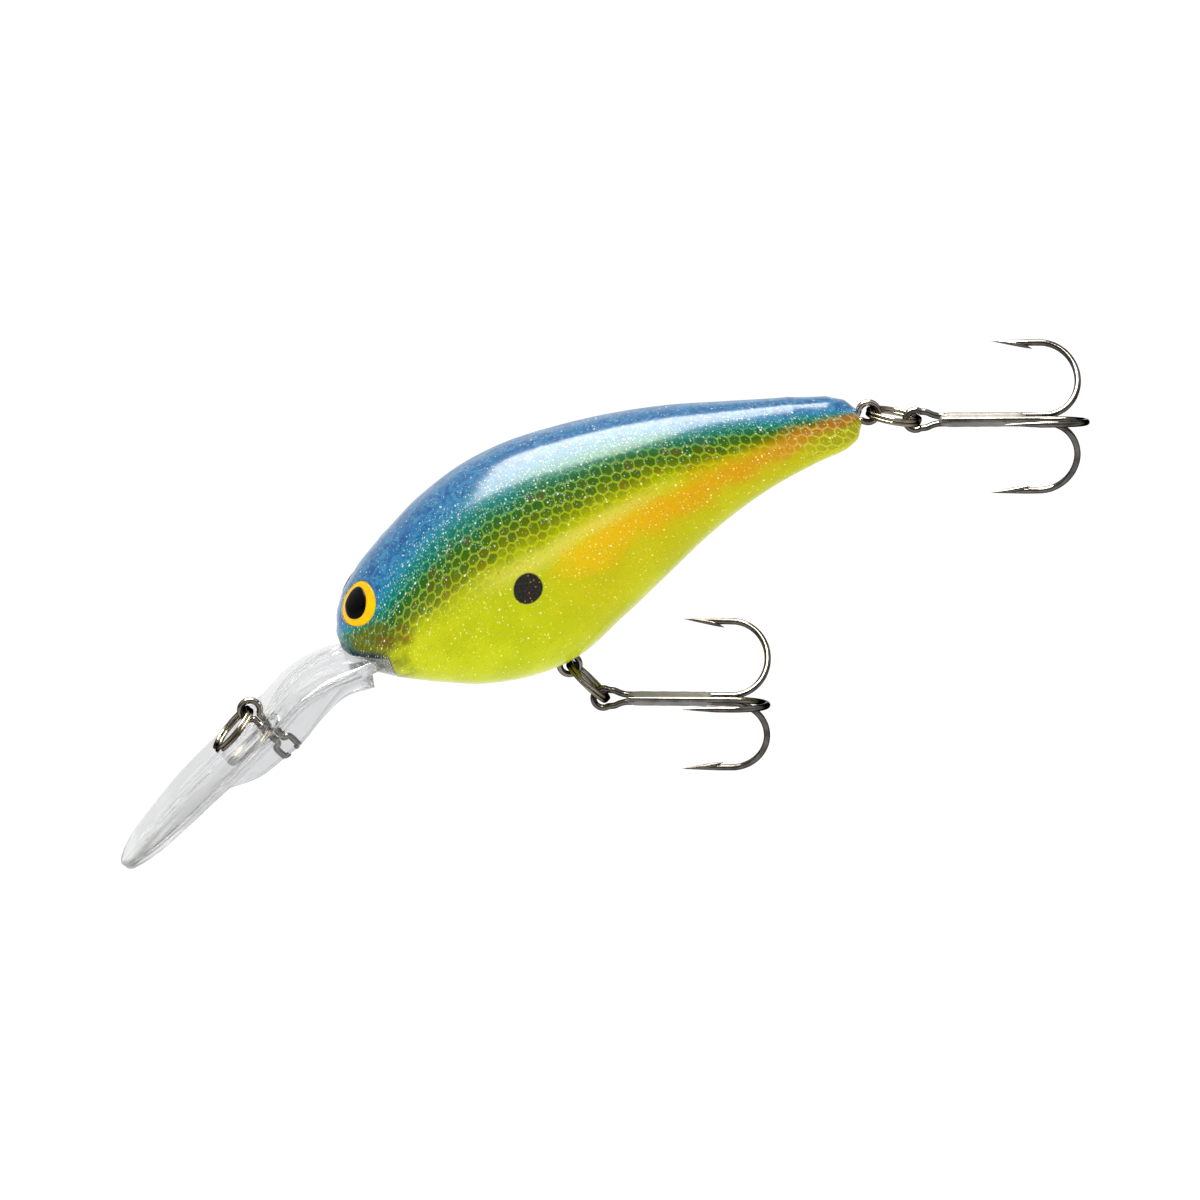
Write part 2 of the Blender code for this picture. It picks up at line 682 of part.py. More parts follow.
def main():
    clear_scene()
    painted = {
        "left": make_material("painted_shell_left", (0.55, 0.72, 0.03), 0.12),
        "right": make_material("painted_shell_right", (0.55, 0.72, 0.03), 0.12),
    }
    clear_plastic = make_material("clear_polycarbonate", (0.92, 0.93, 0.93), 0.05, alpha=0.35)
    black_nickel = make_material("black_nickel_steel", (0.36, 0.33, 0.30), 0.22, 1.0)
    bright_steel = make_material("bright_steel", (0.62, 0.62, 0.60), 0.18, 1.0)
    lead = make_material("cast_lead", (0.22, 0.22, 0.24), 0.55, 1.0)
    iris_paint = make_material("iris_enamel", (0.95, 0.66, 0.01), 0.25)
    pupil_paint = make_material("pupil_enamel", (0.006, 0.006, 0.008), 0.18)

    axis_frame = bpy.data.objects.new("body_axis", None)
    bpy.context.scene.collection.objects.link(axis_frame)
    axis_frame.location = NOSE * MM
    axis_frame.rotation_euler = (0, math.radians(-DIVE_ANGLE), 0)
    bpy.context.view_layer.update()

    belly_inward = Vector((-0.42, 0, 0.907)).normalized()
    tail_inward = axis_to_row((-1, 0, -0.12)) - NOSE
    tail_inward.normalize()
    _, line_channel = add_hanger("line_tie_wire", Vector(), LINE_TIE_AXIS, LINE_TIE_ANCHOR, bright_steel, True)
    _, belly_channel = add_hanger("belly_hanger_wire", BELLY_LOOP, belly_inward, 4.6, bright_steel)
    _, tail_channel = add_hanger("tail_hanger_wire", TAIL_LOOP, tail_inward, 4.9, bright_steel)

    lip, socket = add_lip(clear_plastic, axis_frame, line_channel)
    notch = add_cutter("notch_outer", notch_prism(0.08))
    cavity = add_cavity(axis_frame, row_to_axis(BELLY_LOOP + belly_inward * 4.6))
    shells = add_shells(painted, axis_frame, (notch, socket, belly_channel, tail_channel), cavity)
    for name, side in (("left", 1), ("right", -1)):
        add_eye(name, side, shells[name], iris_paint, pupil_paint, axis_frame)

    add_rattles(bright_steel, axis_frame)
    ballast = ellipsoid(BALLAST_RADII, (BALLAST_AT[0], 0, BALLAST_AT[1]))
    add_object("ballast_weight", mesh_from("ballast", ballast), lead, axis_frame)

    add_ring("line_tie_split_ring", Vector(), LINE_RING_ANGLE, bright_steel)
    belly_far, _, _ = add_ring("belly_split_ring", BELLY_LOOP, -BELLY_RING_FALL, bright_steel)
    tail_far, _, _ = add_ring("tail_split_ring", TAIL_LOOP, -TAIL_RING_FALL, bright_steel)
    add_treble("belly_treble", belly_far, BELLY_TREBLE_YAW, black_nickel)
    add_treble("tail_treble", tail_far, TAIL_TREBLE_YAW, black_nickel)


main()
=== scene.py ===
import json
import math

import bmesh
import bpy
from mathutils import Matrix, Vector


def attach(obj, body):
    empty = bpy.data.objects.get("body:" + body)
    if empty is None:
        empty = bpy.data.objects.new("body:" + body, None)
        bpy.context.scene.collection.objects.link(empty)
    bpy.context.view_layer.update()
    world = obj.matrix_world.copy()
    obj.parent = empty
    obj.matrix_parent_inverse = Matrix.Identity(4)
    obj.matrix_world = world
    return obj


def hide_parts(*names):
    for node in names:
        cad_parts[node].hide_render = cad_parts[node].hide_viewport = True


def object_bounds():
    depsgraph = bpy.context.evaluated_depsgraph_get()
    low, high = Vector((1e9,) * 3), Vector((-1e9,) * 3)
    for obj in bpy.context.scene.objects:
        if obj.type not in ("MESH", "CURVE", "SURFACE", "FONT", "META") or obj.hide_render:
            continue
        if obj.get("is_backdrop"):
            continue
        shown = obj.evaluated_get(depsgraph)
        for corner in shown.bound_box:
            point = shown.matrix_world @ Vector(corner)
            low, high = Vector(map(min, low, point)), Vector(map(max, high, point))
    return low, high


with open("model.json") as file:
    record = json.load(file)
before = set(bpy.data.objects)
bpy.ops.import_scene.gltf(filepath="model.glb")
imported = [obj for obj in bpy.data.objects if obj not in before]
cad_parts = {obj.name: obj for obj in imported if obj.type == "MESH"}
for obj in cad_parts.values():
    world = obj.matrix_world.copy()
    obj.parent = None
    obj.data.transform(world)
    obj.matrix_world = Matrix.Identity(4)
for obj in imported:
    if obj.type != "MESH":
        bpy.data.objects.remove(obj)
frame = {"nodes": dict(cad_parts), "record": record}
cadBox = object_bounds()
mm = 0.001
wireSides = 16


# small helpers
def linear(red, green, blue):
    # eight-bit screen colour to linear light
    shares = [c / 255 for c in (red, green, blue)]
    return (*[c / 12.92 if c < 11 / 255 else ((c + 0.055) / 1.055) ** 2.4 for c in shares], 1.0)


def grey(level):
    return (level, level, level, 1.0)


def startMaterial(name):
    made = bpy.data.materials.new(name)
    made.use_nodes = True
    return made, made.node_tree, made.node_tree.nodes["Principled BSDF"]


def addNode(tree, kind, inputs=None, **settings):
    node = tree.nodes.new(kind)
    for key, value in settings.items():
        setattr(node, key, value)
    for socket, value in (inputs or {}).items():
        if isinstance(value, bpy.types.NodeSocket):
            tree.links.new(value, node.inputs[socket])
        else:
            node.inputs[socket].default_value = value
    return node


def treeOf(*values):
    return next(value.id_data for value in values if isinstance(value, bpy.types.NodeSocket))


def calc(operation, first, second=0.0, clamp=False):
    tree = treeOf(first, second)
    made = addNode(tree, "ShaderNodeMath", {0: first, 1: second}, operation=operation, use_clamp=clamp)
    return made.outputs[0]


def times(first, *others):
    for other in others:
        first = calc("MULTIPLY", first, other)
    return first


def plus(first, second, clamp=False):
    return calc("ADD", first, second, clamp)


def minus(first, second):
    return calc("SUBTRACT", first, second)


def aboutHalf(value, reach):
    # swings either way of nought by half the reach
    return times(minus(value, 0.5), reach)


def vectorCalc(operation, first, second=(0.0, 0.0, 0.0), output=0):
    tree = treeOf(first, second)
    made = addNode(tree, "ShaderNodeVectorMath", {0: first, 1: second}, operation=operation)
    return made.outputs[output]


def addNoise(place, scale, detail=2.0, flat=False, output=0, **more):
    # cloudy numbers about a half; flat ones are for the unrolled skin
    inputs = {"Vector": place, "Scale": scale, "Detail": detail, **more}
    made = addNode(treeOf(place), "ShaderNodeTexNoise", inputs, noise_dimensions="2D" if flat else "3D")
    return made.outputs[output]


def addCells(place, scale):
    # scattered spots: the distance from the nearest one's middle, and that one's random numbers
    inputs = {"Vector": place, "Scale": scale, "Randomness": 1.0}
    found = addNode(treeOf(place), "ShaderNodeTexVoronoi", inputs, voronoi_dimensions="2D")
    chances = addNode(treeOf(place), "ShaderNodeSeparateColor", {0: found.outputs["Color"]})
    return found.outputs["Distance"], chances.outputs


def stretch(value, low, high, fromValue, toValue, kind="LINEAR"):
    inputs = {"Value": value, "From Min": low, "From Max": high, "To Min": fromValue, "To Max": toValue}
    return addNode(treeOf(value), "ShaderNodeMapRange", inputs, interpolation_type=kind).outputs[0]


def ease(value, low, high, fromValue=0.0, toValue=1.0):
    return stretch(value, low, high, fromValue, toValue, "SMOOTHSTEP")


def ramp(value, stops):
    made = addNode(treeOf(value), "ShaderNodeValToRGB", {"Fac": value})
    elements = made.color_ramp.elements
    while len(elements) < len(stops):
        elements.new(0.5)
    for element, (position, colour) in zip(elements, stops):
        element.position = position
        element.color = colour
    return made.outputs[0]


def curve(value, points):
    made = addNode(treeOf(value), "ShaderNodeFloatCurve", {"Value": value})
    line = made.mapping.curves[0]
    while len(line.points) < len(points):
        line.points.new(0.5, 0.5)
    for point, place in zip(line.points, points):
        point.location = place
    made.mapping.update()
    return made.outputs[0]


def mix(share, under, over):
    tree = treeOf(share, under, over)
    return addNode(tree, "ShaderNodeMix", {0: share, 6: under, 7: over}, data_type="RGBA").outputs[2]


def bumpFrom(tree, shader, height, strength, distance=0.0001):
    made = addNode(tree, "ShaderNodeBump", {"Height": height, "Strength": strength, "Distance": distance})
    tree.links.new(made.outputs[0], shader.inputs["Normal"])


def finishPiece(name, bm, material, body, nodes=(), sharpAngle=45):
    # shapes are in millimetres until here
    bmesh.ops.scale(bm, vec=(mm, mm, mm), verts=bm.verts)
    mesh = bpy.data.meshes.new(name)
    bm.to_mesh(mesh)
    bm.free()
    return dressPiece(name, mesh, material, body, nodes, sharpAngle)


def dressPiece(name, mesh, material, body, nodes=(), sharpAngle=45):
    mesh.shade_smooth()
    mesh.set_sharp_from_angle(angle=math.radians(sharpAngle))
    if material:
        mesh.materials.append(material)
    piece = bpy.data.objects.new(name, mesh)
    bpy.context.scene.collection.objects.link(piece)
    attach(piece, body)
    if nodes:
        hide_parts(*nodes)
    return piece


def loftRings(rings, bm=None):
    # a circle's cap is grown ring by ring; each ring lists its corners in the same order
    bm = bm or bmesh.new()
    made = bmesh.ops.create_circle(bm, cap_ends=True, segments=len(rings[0]), radius=1.0)
    cap = made["verts"][0].link_faces[0]
    for vert, place in zip(cap.verts, rings[0]):
        vert.co = place
    for ring in rings[1:]:
        grown = bmesh.ops.extrude_face_region(bm, geom=[cap, *cap.edges])
        cap = next(part for part in grown["geom"] if isinstance(part, bmesh.types.BMFace))
        for vert, place in zip(cap.verts, ring):
            vert.co = place
    bmesh.ops.recalc_face_normals(bm, faces=bm.faces)
    return bm


def around(rows, k):
    # a row with the one before it and the two after, held at the ends
    return [rows[max(0, min(len(rows) - 1, k + n))] for n in (-1, 0, 1, 2)]


def glide(a, b, c, d, t):
    # Catmull-Rom curve from b to c
    bend = (2 * a - 5 * b + 4 * c - d) * t * t
    return 0.5 * (2 * b + (c - a) * t + bend + (3 * b - a - 3 * c + d) * t**3)


def smoothThrough(points, steps):
    made = []
    for k in range(len(points) - 1):
        made += [glide(*around(points, k), n / steps) for n in range(steps)]
    return [*made, points[-1]]


def smoothRows(rows, steps):
    return list(zip(*[smoothThrough(column, steps) for column in zip(*rows)]))


def tangentAt(path, k):
    return (path[min(k + 1, len(path) - 1)] - path[max(k - 1, 0)]).normalized()


def arcPoints(centre, radius, start, end, steps):
    turns = [math.radians(start + (end - start) * k / steps) for k in range(steps + 1)]
    return [Vector((centre[0] + radius * math.cos(a), 0, centre[1] + radius * math.sin(a))) for a in turns]


def sweepWire(path, radius, widths, depths=None, offsets=None, side=(0, 1, 0), bm=None):
    # widths go along the side direction, depths across it; offsets shift the section across the side
    side = Vector(side)
    turns = [2 * math.pi * (n + 0.5) / wireSides for n in range(wireSides)]
    rings = []
    for k, point in enumerate(path):
        tangent = tangentAt(path, k)
        side = (side - tangent * side.dot(tangent)).normalized()
        across = tangent.cross(side)
        wide, deep = radius * widths[k], radius * (depths or widths)[k]
        middle = point + across * (offsets[k] if offsets else 0.0)
        rings.append([middle + side * wide * math.cos(a) + across * deep * math.sin(a) for a in turns])
    return loftRings(rings, bm)


def turnProfile(profile, steps=48):
    # spun about +Z from (radius, height) pairs that start and end on the axis
    bm = bmesh.new()
    line = [bm.verts.new((r, 0, z)) for r, z in profile]
    edges = [bm.edges.new(pair) for pair in zip(line, line[1:])]
    bmesh.ops.spin(
        bm, geom=line + edges, axis=(0, 0, 1), cent=(0, 0, 0), angle=2 * math.pi, steps=steps, use_merge=True
    )
    bmesh.ops.remove_doubles(bm, verts=bm.verts, dist=0.0005)
    bmesh.ops.recalc_face_normals(bm, faces=bm.faces)
    return bm


def meshOf(name, bm, *materials):
    mesh = bpy.data.meshes.new(name)
    bm.to_mesh(mesh)
    bm.free()
    for material in materials:
        mesh.materials.append(material)
    made = bpy.data.objects.new(name, mesh)
    bpy.context.scene.collection.objects.link(made)
    return made


def cutAndJoin(base, steps):
    # runs exact Booleans and gives back the finished mesh; the helpers are removed
    for operation, other in steps:
        modifier = base.modifiers.new(operation, "BOOLEAN")
        modifier.operation = operation
        modifier.solver = "EXACT"
        modifier.object = other
        modifier.material_mode = "TRANSFER"
    bpy.context.view_layer.update()
    graph = bpy.context.evaluated_depsgraph_get()
    mesh = bpy.data.meshes.new_from_object(base.evaluated_get(graph))
    for helper in [base, *[other for _, other in steps]]:
        if helper.name in bpy.data.objects:
            bpy.data.objects.remove(helper)
    return mesh


print("scene: helpers ready")

# body form, in millimetres along and across the body's own axis
bodyForm = {
    "diveAngle": 19.0,
    "nose": Vector((12.9, 0.0, 12.5)),
    "power": 2.25,
    "outline": [  # along, back, belly, half width
        (-1.30, -1.2, -3.8, 1.6), (-0.40, 1.2, -6.0, 4.2), (1.40, 3.7, -7.8, 6.3),
        (4.80, 6.5, -10.0, 8.3), (9.00, 9.1, -12.2, 9.7), (15.0, 12.2, -14.8, 11.0),
        (22.0, 14.6, -16.2, 11.5), (29.0, 15.6, -15.8, 11.3), (36.0, 15.4, -12.9, 10.6),
        (44.0, 14.5, -9.3, 9.3), (52.0, 12.9, -5.7, 7.6), (60.0, 10.6, -3.1, 5.8),
        (68.0, 8.3, -1.7, 4.3), (73.0, 6.6, -1.3, 3.4), (75.3, 5.2, -0.4, 2.5), (76.3, 3.6, 1.2, 1.2),
    ],
    "rings": 110,
    "sides": 88,
}
noseAt, tailAt = bodyForm["outline"][0][0], bodyForm["outline"][-1][0]
dive = Matrix.Rotation(math.radians(-bodyForm["diveAngle"]), 4, "Y")
bodyToRow = Matrix.Translation(bodyForm["nose"]) @ dive


def bodySection(along):
    rows = bodyForm["outline"]
    k = next((k for k in range(len(rows) - 1) if along <= rows[k + 1][0]), len(rows) - 2)
    t = max(0.0, min(1.0, (along - rows[k][0]) / (rows[k + 1][0] - rows[k][0])))
    return glide(*[Vector(row[1:]) for row in around(rows, k)], t)


def skinAt(along, angle):
    # angle 0 is the left flank's middle, a quarter turn the back's middle line
    back, belly, half = bodySection(along)
    c, s = math.cos(angle), math.sin(angle)
    power = 2 / bodyForm["power"]
    y = half * math.copysign(abs(c) ** power, c)
    z = (back - belly) / 2 * math.copysign(abs(s) ** power, s)
    return Vector((along, y, (back + belly) / 2 + z))


def skinPoint(along, turn):
    # turn 0 is the back's middle line, 1 the belly's, going down the left side
    return skinAt(along, math.pi / 2 - math.pi * turn)


def girthTable(along, steps=48):
    # arc lengths from the back's middle line down one side
    points = [skinPoint(along, k / steps) for k in range(steps + 1)]
    arcs = [0.0]
    for a, b in zip(points, points[1:]):
        arcs.append(arcs[-1] + (b - a).length)
    return arcs


def tableAt(table, share):
    place = max(0.0, min(1.0, share)) * (len(table) - 1)
    k = min(int(place), len(table) - 2)
    return table[k] + (table[k + 1] - table[k]) * (place - k)


def bodyStations(front, rear, count):
    eased = [(1 - math.cos(math.pi * k / (count - 1))) / 2 for k in range(count)]
    return [front + (rear - front) * (0.5 * k / (count - 1) + 0.5 * e) for k, e in enumerate(eased)]


def lengthTable():
    # arc length along the body's side
    stops = [noseAt + (tailAt - noseAt) * k / 200 for k in range(201)]
    arcs = [0.0]
    for a, b in zip(stops, stops[1:]):
        arcs.append(arcs[-1] + (skinPoint(b, 0.45) - skinPoint(a, 0.45)).length)
    return arcs


sideArcs = lengthTable()


def shareAlong(along):
    return (along - noseAt) / (tailAt - noseAt)


def netPlace(along, share):
    # where a spot lies on the unrolled skin, in millimetres
    return tableAt(sideArcs, shareAlong(along)), share * girthTable(along)[-1]


def skinLoft(front, rear, count, sides):
    angles = [2 * math.pi * (k + 0.5) / sides for k in range(sides)]
    stations = bodyStations(front, rear, count)
    return loftRings([[skinAt(along, angle) for angle in angles] for along in stations])


def layNetMap(bm):
    # "net" holds millimetres on the unrolled skin, "spray" the shares along and down the side
    net, spray = bm.loops.layers.uv.new("net"), bm.loops.layers.uv.new("spray")
    tables = {}
    for face in bm.faces:
        for loop in face.loops:
            x, y, z = loop.vert.co
            key = round(x, 4)
            if key not in tables:
                tables[key] = (bodySection(x), girthTable(x))
            (back, belly, half), arcs = tables[key]
            c = min(1.0, abs(y) / half) ** (bodyForm["power"] / 2)
            up = (z - (back + belly) / 2) / ((back - belly) / 2)
            s = math.copysign(min(1.0, abs(up)) ** (bodyForm["power"] / 2), up)
            arc = tableAt(arcs, 0.5 - math.atan2(s, c) / math.pi)
            loop[net].uv = (tableAt(sideArcs, shareAlong(x)), arc)
            loop[spray].uv = (shareAlong(x), arc / arcs[-1])
    return bm


# paint
paintJob = {
    "netCentre": [(0.0, 0.47), (0.08, 0.49), (0.12, 0.44), (0.17, 0.39), (0.22, 0.36), (0.28, 0.34),
                  (0.36, 0.32), (0.58, 0.315), (0.68, 0.345), (0.80, 0.385), (0.90, 0.42), (1.0, 0.44)],
    "cells": [(0.00, linear(50, 112, 160)), (0.12, linear(38, 112, 166)), (0.195, linear(34, 132, 164)),
              (0.235, linear(8, 124, 116)), (0.27, linear(8, 108, 78)), (0.305, linear(44, 98, 24)),
              (0.345, linear(72, 104, 6)), (0.385, linear(112, 126, 2)), (0.43, linear(172, 180, 2)),
              (0.50, linear(188, 196, 2)), (0.78, linear(190, 200, 2)), (1.0, linear(204, 212, 14))],
    "lines": [(0.00, linear(50, 112, 160)), (0.12, linear(38, 112, 166)), (0.195, linear(40, 138, 168)),
              (0.235, linear(40, 138, 128)), (0.27, linear(84, 156, 104)), (0.305, linear(120, 166, 60)),
              (0.345, linear(144, 172, 38)), (0.385, linear(168, 184, 24)), (0.43, linear(190, 200, 10)),
              (0.50, linear(190, 198, 2)), (0.78, linear(190, 200, 2)), (1.0, linear(204, 212, 14))],
    "netPitch": 1.52,
    "warmCentre": [(0.0, 0.47), (0.38, 0.50), (0.55, 0.525), (0.70, 0.545), (0.82, 0.54), (0.92, 0.46),
                   (1.0, 0.40)],
    "warmHalf": [(0.0, 0.04), (0.36, 0.06), (0.50, 0.095), (0.70, 0.115), (0.82, 0.13), (0.92, 0.13),
                 (1.0, 0.11)],
    "warm": [(0.36, linear(232, 194, 6)), (0.50, linear(236, 182, 0)), (0.66, linear(226, 162, 0)),
             (0.82, linear(210, 142, 6)), (0.92, linear(190, 118, 22)), (1.0, linear(176, 108, 40))],
    # middle line of the painted reflection on the flank, as a share down the side
    "flankHighlightCentre": [(0.0, 0.47), (0.35, 0.455), (0.6, 0.45), (0.75, 0.47), (1.0, 0.5)],
    "cheek": [(0.35, linear(30, 98, 84)), (0.48, linear(52, 98, 24)), (0.60, linear(94, 100, 8))],
    "flakeDensity": [(0.0, 0.07), (0.13, 0.15), (0.22, 0.66), (0.29, 0.32), (0.38, 0.16), (0.50, 0.55),
                     (0.66, 0.28), (1.0, 0.10)],
    "coolTones": [(0.0, linear(255, 255, 255)), (0.35, linear(214, 240, 240)), (0.55, linear(130, 220, 214)),
                  (0.70, linear(238, 240, 226)), (0.86, linear(212, 166, 92)), (1.0, linear(255, 255, 236))],
    "fineTones": [(0.0, linear(10, 66, 62)), (0.35, linear(30, 92, 80)), (0.55, linear(120, 190, 180)),
                  (0.8, linear(226, 244, 236)), (1.0, linear(240, 230, 160))],
    "sunnyTones": [(0.0, linear(255, 255, 190)), (0.4, linear(248, 240, 100)), (0.72, linear(250, 216, 80)),
                   (0.92, linear(206, 110, 10)), (1.0, linear(255, 255, 220))],
    "spot": (25.6, 0.524, 2.12),  # along the body, share down the side, radius
    "flakes": [  # flakes per mm, smallest and largest reach in cells, strength
        (1.15, 0.05, 0.17, 0.92), (2.1, 0.08, 0.22, 0.70), (4.2, 0.20, 0.42, 0.50),
    ],
}


def addFlakes(net, density, given):
    # one size of metal flake in the clear coat: where it shows, and a random number for its tone
    perMm, smallest, largest, strength = given
    distance, chances = addCells(net, perMm)
    reach = stretch(chances[2], 0.0, 1.0, smallest, largest)
    mask = times(calc("LESS_THAN", chances[0], density), calc("LESS_THAN", distance, reach), strength)
    return mask, chances[1]


def makePaint(name):
    made, tree, shader = startMaterial(name)
    net = addNode(tree, "ShaderNodeUVMap", uv_map="net").outputs[0]
    spray = addNode(tree, "ShaderNodeUVMap", uv_map="spray").outputs[0]
    split = addNode(tree, "ShaderNodeSeparateXYZ", {0: spray})
    along, down = split.outputs[0], split.outputs[1]
    place = addNode(tree, "ShaderNodeTexCoord").outputs["Object"]
    placeSplit = addNode(tree, "ShaderNodeSeparateXYZ", {0: place})

    # the flat noises' scales count per millimetre, the others' per metre
    cloud = addNoise(net, 0.16, 4.0, flat=True)
    patch = addNoise(net, 0.55, 3.0, flat=True)
    mist = addNoise(net, 3.4, 4.0, flat=True, Roughness=0.8)
    swirl = addNoise(place, 620.0, 3.0, Distortion=2.0)
    crownSheenNoise = addNoise(place, 420.0, 3.0)

    # the sprayed bands follow the net's centre line and wander a little
    centre = curve(along, paintJob["netCentre"])
    band = plus(minus(down, centre), 0.335)
    wander = aboutHalf(cloud, 0.045)
    band = plus(band, wander)
    dusted = plus(band, aboutHalf(mist, 0.085), clamp=True)

    # six-sided scale net
    warp = addNoise(net, 0.30, 1.0, flat=True, output=1)
    warp = vectorCalc("MULTIPLY", vectorCalc("SUBTRACT", warp, (0.5, 0.5, 0.5)), (0.8, 0.8, 0.0))
    onNet = vectorCalc("ADD", vectorCalc("ADD", net, warp), (8.0, 8.0, 0.0))
    onNet = vectorCalc("DIVIDE", onNet, (paintJob["netPitch"], paintJob["netPitch"], 1.0))
    grid, middle = (1.0, math.sqrt(3), 1.0), (0.5, math.sqrt(3) / 2, 0.5)
    evenCell = vectorCalc("SUBTRACT", vectorCalc("MODULO", onNet, grid), middle)
    oddCell = vectorCalc("SUBTRACT", vectorCalc("MODULO", vectorCalc("ADD", onNet, middle), grid), middle)
    fromEven, fromOdd = (vectorCalc("LENGTH", cell, output=1) for cell in (evenCell, oddCell))
    evenNearer = calc("LESS_THAN", fromEven, fromOdd)
    choice = {0: evenNearer, 4: oddCell, 5: evenCell}
    inCell = addNode(tree, "ShaderNodeMix", choice, data_type="VECTOR").outputs[1]
    offset = vectorCalc("ABSOLUTE", vectorCalc("MULTIPLY", inCell, (1.0, 1.0, 0.0)))
    offsets = addNode(tree, "ShaderNodeSeparateXYZ", {0: offset}).outputs
    slanted = plus(times(offsets[0], 0.5), times(offsets[1], math.sqrt(3) / 2))
    toEdge = calc("MAXIMUM", offsets[0], slanted)
    thread = ease(toEdge, 0.405, 0.475)
    cellName = vectorCalc("SNAP", vectorCalc("SUBTRACT", onNet, inCell), (0.25, 0.25, 1.0))
    cellRandom = addNode(tree, "ShaderNodeTexWhiteNoise", {"Vector": cellName}).outputs[0]

    cells = ramp(dusted, paintJob["cells"])
    inNet = times(ease(band, 0.25, 0.30), ease(band, 0.38, 0.47, 1.0, 0.0))
    rust = times(ease(cellRandom, 0.72, 0.95), inNet, ease(mist, 0.40, 0.62))
    cells = mix(times(rust, 0.65), cells, linear(124, 70, 8))
    moss = times(ease(cellRandom, 0.40, 0.05), inNet)
    cells = mix(times(moss, 0.45), cells, linear(30, 84, 24))
    colour = mix(times(thread, 0.86), cells, ramp(dusted, paintJob["lines"]))

    # the chartreuse is a little darker or lighter in cloudy patches
    thick = times(ease(band, 0.42, 0.50), ease(cloud, 0.62, 0.34))
    colour = mix(times(thick, 0.24), colour, linear(166, 178, 0))
    thin = times(ease(band, 0.42, 0.50), ease(cloud, 0.44, 0.72))
    colour = mix(times(thin, 0.22), colour, linear(220, 226, 40))
    # pearl swirls in the blue
    blue = ease(dusted, 0.16, 0.24, 1.0, 0.0)
    colour = mix(times(blue, ease(swirl, 0.50, 0.62)), colour, linear(66, 136, 182))
    colour = mix(times(blue, times(ease(swirl, 0.46, 0.36), 0.8)), colour, linear(28, 84, 144))
    # painted reflection: the back's middle line is lighter blue in patches, for the bright air reflected along
    # the crown
    paintedCrownSheen = times(ease(down, 0.0, 0.07, 1.0, 0.0), ease(crownSheenNoise, 0.35, 0.65))
    colour = mix(times(paintedCrownSheen, 0.35), colour, linear(140, 182, 208))

    # gold dust over the rear of the flank
    dust = times(ease(plus(along, aboutHalf(cloud, 0.2)), 0.30, 0.52), ease(down, 0.46, 0.54))
    dust = times(dust, ease(down, 0.66, 0.86, 1.0, 0.25))
    dust = times(dust, ease(mist, 0.36, 0.60, 0.25, 1.0))
    colour = mix(times(dust, 0.62), colour, linear(198, 168, 0))

    # warm flank from behind the spot to the tail
    warmCentre = curve(along, paintJob["warmCentre"])
    warmHalf = curve(along, paintJob["warmHalf"])
    away = calc("DIVIDE", calc("ABSOLUTE", minus(plus(down, wander), warmCentre)), warmHalf)
    away = plus(away, aboutHalf(mist, 1.7))
    away = plus(away, aboutHalf(cloud, 1.3))
    warm = times(ease(away, 0.05, 1.20, 1.0, 0.0), ease(plus(along, aboutHalf(patch, 0.10)), 0.35, 0.47))
    orange = ramp(along, paintJob["warm"])
    orange = mix(times(thread, 0.8, ease(along, 0.78, 0.90)), orange, linear(220, 172, 90))
    colour = mix(times(warm, 0.84), colour, orange)
    # the net shows again, faintly, at the tail's lower corner
    tailNet = times(ease(along, 0.86, 0.94), ease(down, 0.46, 0.54), ease(down, 0.68, 0.78, 1.0, 0.0))
    colour = mix(times(tailNet, 0.75), colour, mix(thread, linear(146, 146, 12), linear(196, 200, 50)))

    # painted reflection: a pale cream band above the warm flank stands in for a soft reflection of light on
    # the clear coat
    fromFlankHighlight = calc("ABSOLUTE", minus(plus(down, wander), curve(along, paintJob["flankHighlightCentre"])))
    paintedFlankHighlight = times(ease(fromFlankHighlight, 0.0, 0.05, 1.0, 0.0), ease(along, 0.22, 0.36))
    paintedFlankHighlight = times(paintedFlankHighlight, ease(along, 0.52, 0.70, 1.0, 0.0))
    colour = mix(times(paintedFlankHighlight, 0.50), colour, linear(230, 218, 96))

    # green cheek with brown blotches
    cheek = times(ease(plus(along, aboutHalf(patch, 0.08)), 0.055, 0.115, 1.0, 0.0), ease(down, 0.38, 0.47))
    cheekColour = ramp(calc("MULTIPLY_ADD", mist, 0.5), paintJob["cheek"])
    cheekColour = mix(ease(along, 0.028, 0.008), cheekColour, linear(34, 112, 122))
    cheekColour = mix(times(thread, 0.35), cheekColour, linear(120, 150, 40))
    colour = mix(times(cheek, 0.92), colour, cheekColour)
    blotch = times(ease(along, 0.05, 0.08), ease(along, 0.14, 0.11), ease(down, 0.46, 0.50))
    blotch = times(blotch, ease(down, 0.60, 0.55), ease(patch, 0.44, 0.56))
    colour = mix(times(blotch, 0.75), colour, linear(104, 74, 10))
    # painted shade: dark blue along the chin, just over the lip, where the head shades the lip's root
    height = plus(placeSplit.outputs[2], aboutHalf(mist, 0.0016))
    paintedChinShade = times(ease(height, 0.0102, 0.0090), ease(placeSplit.outputs[0], 0.0196, 0.0172))
    colour = mix(times(paintedChinShade, 0.92), colour, linear(8, 44, 74))

